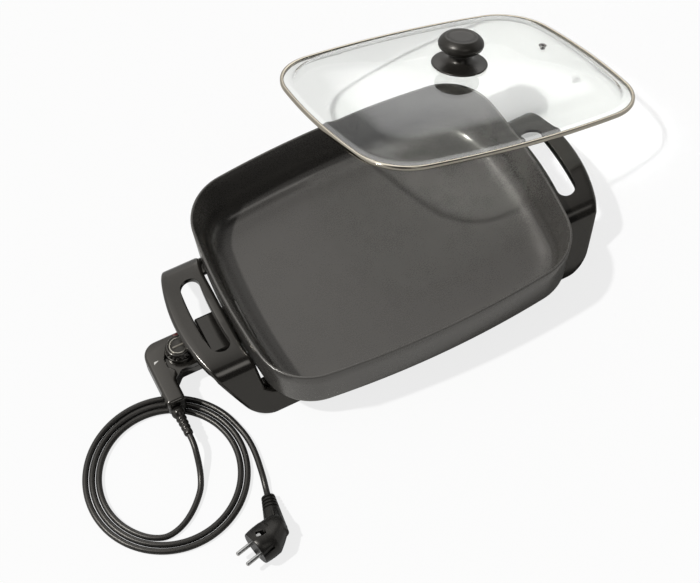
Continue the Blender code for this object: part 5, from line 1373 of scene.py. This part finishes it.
@dataclass(frozen=True)
class Patch:
    """Round soft-edged patch of the sky that only mirrored rays see; its radii are in degrees."""

    centre: Point
    inner: float
    outer: float
    at_centre: float
    outside: float = 0.0


@dataclass
class Studio:
    """Camera, lamp, world and floor. The patches are placed for the photograph's own view."""

    focal_px: float = 1694.42
    image: tuple[int, int] = (700, 583)
    sensor: float = 36.0
    yaw: float = 0.411459
    pitch: float = 1.051299
    roll: float = -0.0623645
    eye: Point = (-0.445876, -0.924331, 1.708482)
    key_from: Point = (-0.500, 0.124, 0.857)
    key_power: float = 2.60
    key_angle: float = math.radians(2.5)
    world_light: float = 0.25
    floor_white: float = 0.80
    floor_through: float = 0.40
    table_size: float = 12.0
    table_drop: float = 0.0002
    table_seen: Point = (0.95, 0.95, 0.945)
    table_bounce: Point = (0.60, 0.60, 0.595)
    dim: tuple[Patch, ...] = (Patch((0.0, -0.76, 0.65), 46, 68, 0.07, 1.0),
                              Patch((0.583, 0.272, 0.766), 8, 27, 0.30, 1.0))
    bright: tuple[Patch, ...] = (Patch((0.128, -0.602, 0.788), 5, 15, 2.2),
                                 Patch((-0.25, 0.40, 0.88), 6, 24, 0.9),
                                 Patch((0.498, 0.766, 0.407), 8, 26, 2.0))

    def camera(self) -> None:
        """Camera at the photograph's viewing angle."""
        flat = math.cos(self.pitch)
        forward = Vector((math.sin(self.yaw) * flat, math.cos(self.yaw) * flat, -math.sin(self.pitch)))
        level = Vector((math.cos(self.yaw), -math.sin(self.yaw), 0))
        lift = level.cross(forward)
        right = level * math.cos(self.roll) + lift * math.sin(self.roll)
        up = lift * math.cos(self.roll) - level * math.sin(self.roll)
        turn = Matrix((right, up, -forward)).transposed()
        Bench.clear()
        bpy.ops.object.camera_add(location=self.eye, rotation=turn.to_euler())
        camera = bpy.context.object
        camera.data.lens = self.sensor * self.focal_px / self.image[0]
        camera.data.sensor_width = self.sensor
        camera.data.clip_end = 20.0
        bpy.context.scene.camera = camera

    def light(self) -> None:
        """One soft key lamp and an even pale world."""
        Bench.clear()
        turn = Vector(self.key_from).to_track_quat("Z", "Y").to_euler()
        bpy.ops.object.light_add(type="SUN", location=self.key_from, rotation=turn)
        key = bpy.context.object
        key.data.energy, key.data.angle = self.key_power, self.key_angle
        world = bpy.data.worlds.new("studio")
        bpy.context.scene.world = world
        world.use_nodes = True
        tree = world.node_tree
        tree.nodes.clear()
        out, shine, path, where = (tree.nodes.new(kind) for kind in (
            "ShaderNodeOutputWorld", "ShaderNodeBackground", "ShaderNodeLightPath", "ShaderNodeTexCoord"))
        rays = path.outputs

        def sum_up(operation: str, one: object, two: object) -> bpy.types.NodeSocket:
            """Socket of a maths node whose inputs are sockets or numbers."""
            node = tree.nodes.new("ShaderNodeMath")
            node.operation, node.use_clamp = operation, False
            for socket, given in zip(node.inputs, (one, two)):
                if isinstance(given, bpy.types.NodeSocket):
                    tree.links.new(given, socket)
                else:
                    socket.default_value = given
            return node.outputs[0]

        def patch(spot: Patch) -> bpy.types.NodeSocket:
            """One patch of the sky as a socket."""
            dot, soft = tree.nodes.new("ShaderNodeVectorMath"), tree.nodes.new("ShaderNodeMapRange")
            dot.operation, soft.interpolation_type = "DOT_PRODUCT", "SMOOTHSTEP"
            dot.inputs[1].default_value = Vector(spot.centre).normalized()
            tree.links.new(where.outputs["Generated"], dot.inputs[0])
            tree.links.new(dot.outputs["Value"], soft.inputs["Value"])
            for label, value in (("From Min", math.cos(math.radians(spot.outer))),
                                 ("From Max", math.cos(math.radians(spot.inner))),
                                 ("To Min", spot.outside), ("To Max", spot.at_centre)):
                soft.inputs[label].default_value = value
            return soft.outputs["Result"]

        mirrored = patch(self.dim[0])
        for spot in self.dim[1:]:
            mirrored = sum_up("MULTIPLY", mirrored, patch(spot))
        for spot in self.bright:
            mirrored = sum_up("ADD", mirrored, patch(spot))
        direct = sum_up("SUBTRACT", 1.0, sum_up("MINIMUM", rays["Diffuse Depth"], 1.0))
        clear = sum_up("MULTIPLY", sum_up("MAXIMUM", rays["Is Camera Ray"], rays["Is Transmission Ray"]),
                       direct)
        glossy = sum_up("MULTIPLY", rays["Is Glossy Ray"], direct)
        plain = sum_up("SUBTRACT", 1.0, sum_up("MAXIMUM", clear, glossy))
        total = sum_up("ADD", sum_up("MULTIPLY", plain, self.world_light), clear)
        only_glossy = sum_up("MULTIPLY", glossy, sum_up("SUBTRACT", 1.0, clear))
        total = sum_up("ADD", total, sum_up("MULTIPLY", only_glossy, mirrored))
        tree.links.new(total, shine.inputs["Strength"])
        tree.links.new(shine.outputs[0], out.inputs["Surface"])
        bpy.context.scene.view_settings.view_transform = "Standard"

    def floor(self) -> None:
        """Plain white table that keeps the shadows."""
        Bench.clear()
        bpy.ops.mesh.primitive_plane_add(size=self.table_size, location=(0, 0, TABLE_Z - self.table_drop))
        table = bpy.context.object
        table.name = "table_top"
        made = bpy.data.materials.new("white_table")
        made.use_nodes = True
        tree = made.node_tree
        shader = tree.nodes["Principled BSDF"]
        shader.inputs["Roughness"].default_value = 0.9
        shader.inputs["Specular IOR Level"].default_value = 0.1
        path, glow, mix = (tree.nodes.new(kind) for kind in ("ShaderNodeLightPath", "ShaderNodeEmission",
                                                             "ShaderNodeMixShader"))
        seen, through_glass, first, share = (tree.nodes.new("ShaderNodeMath") for _ in range(4))
        seen.operation, through_glass.operation, first.operation, share.operation = (
            "MULTIPLY", "MULTIPLY_ADD", "SUBTRACT", "MULTIPLY")
        tree.links.new(path.outputs["Is Camera Ray"], seen.inputs[0])
        seen.inputs[1].default_value = self.floor_white
        tree.links.new(path.outputs["Is Transmission Ray"], through_glass.inputs[0])
        through_glass.inputs[1].default_value = self.floor_through
        tree.links.new(seen.outputs[0], through_glass.inputs[2])
        first.use_clamp, first.inputs[0].default_value = True, 1.0
        tree.links.new(path.outputs["Diffuse Depth"], first.inputs[1])
        tree.links.new(through_glass.outputs[0], share.inputs[0])
        tree.links.new(first.outputs[0], share.inputs[1])
        tree.links.new(share.outputs[0], mix.inputs["Fac"])
        paler, cover = tree.nodes.new("ShaderNodeMath"), tree.nodes.new("ShaderNodeMix")
        paler.operation, cover.data_type = "MAXIMUM", "RGBA"
        tree.links.new(path.outputs["Is Camera Ray"], paler.inputs[0])
        tree.links.new(path.outputs["Is Transmission Ray"], paler.inputs[1])
        tree.links.new(paler.outputs[0], cover.inputs["Factor"])
        cover.inputs[6].default_value = (*self.table_bounce, 1.0)
        cover.inputs[7].default_value = (*self.table_seen, 1.0)
        tree.links.new(cover.outputs[2], shader.inputs["Base Color"])
        tree.links.new(shader.outputs["BSDF"], mix.inputs[1])
        tree.links.new(glow.outputs["Emission"], mix.inputs[2])
        tree.links.new(mix.outputs["Shader"], tree.nodes["Material Output"].inputs["Surface"])
        table.data.materials.append(made)


def main() -> None:
    """Build the skillet's looks, sub-assembly by sub-assembly."""
    logging.basicConfig(level=logging.INFO, format="%(message)s")
    studio = Studio()
    studio.camera()
    plug = Plug()
    Cord().build(plug, plug.build())
    Pan().build()
    Handle(-1).build("grip_left", "handle_left")
    Handle(1).build("grip_right", "handle_right")
    Lid().build()
    Control().build()
    studio.light()
    studio.floor()


if __name__ == "__main__":
    main()
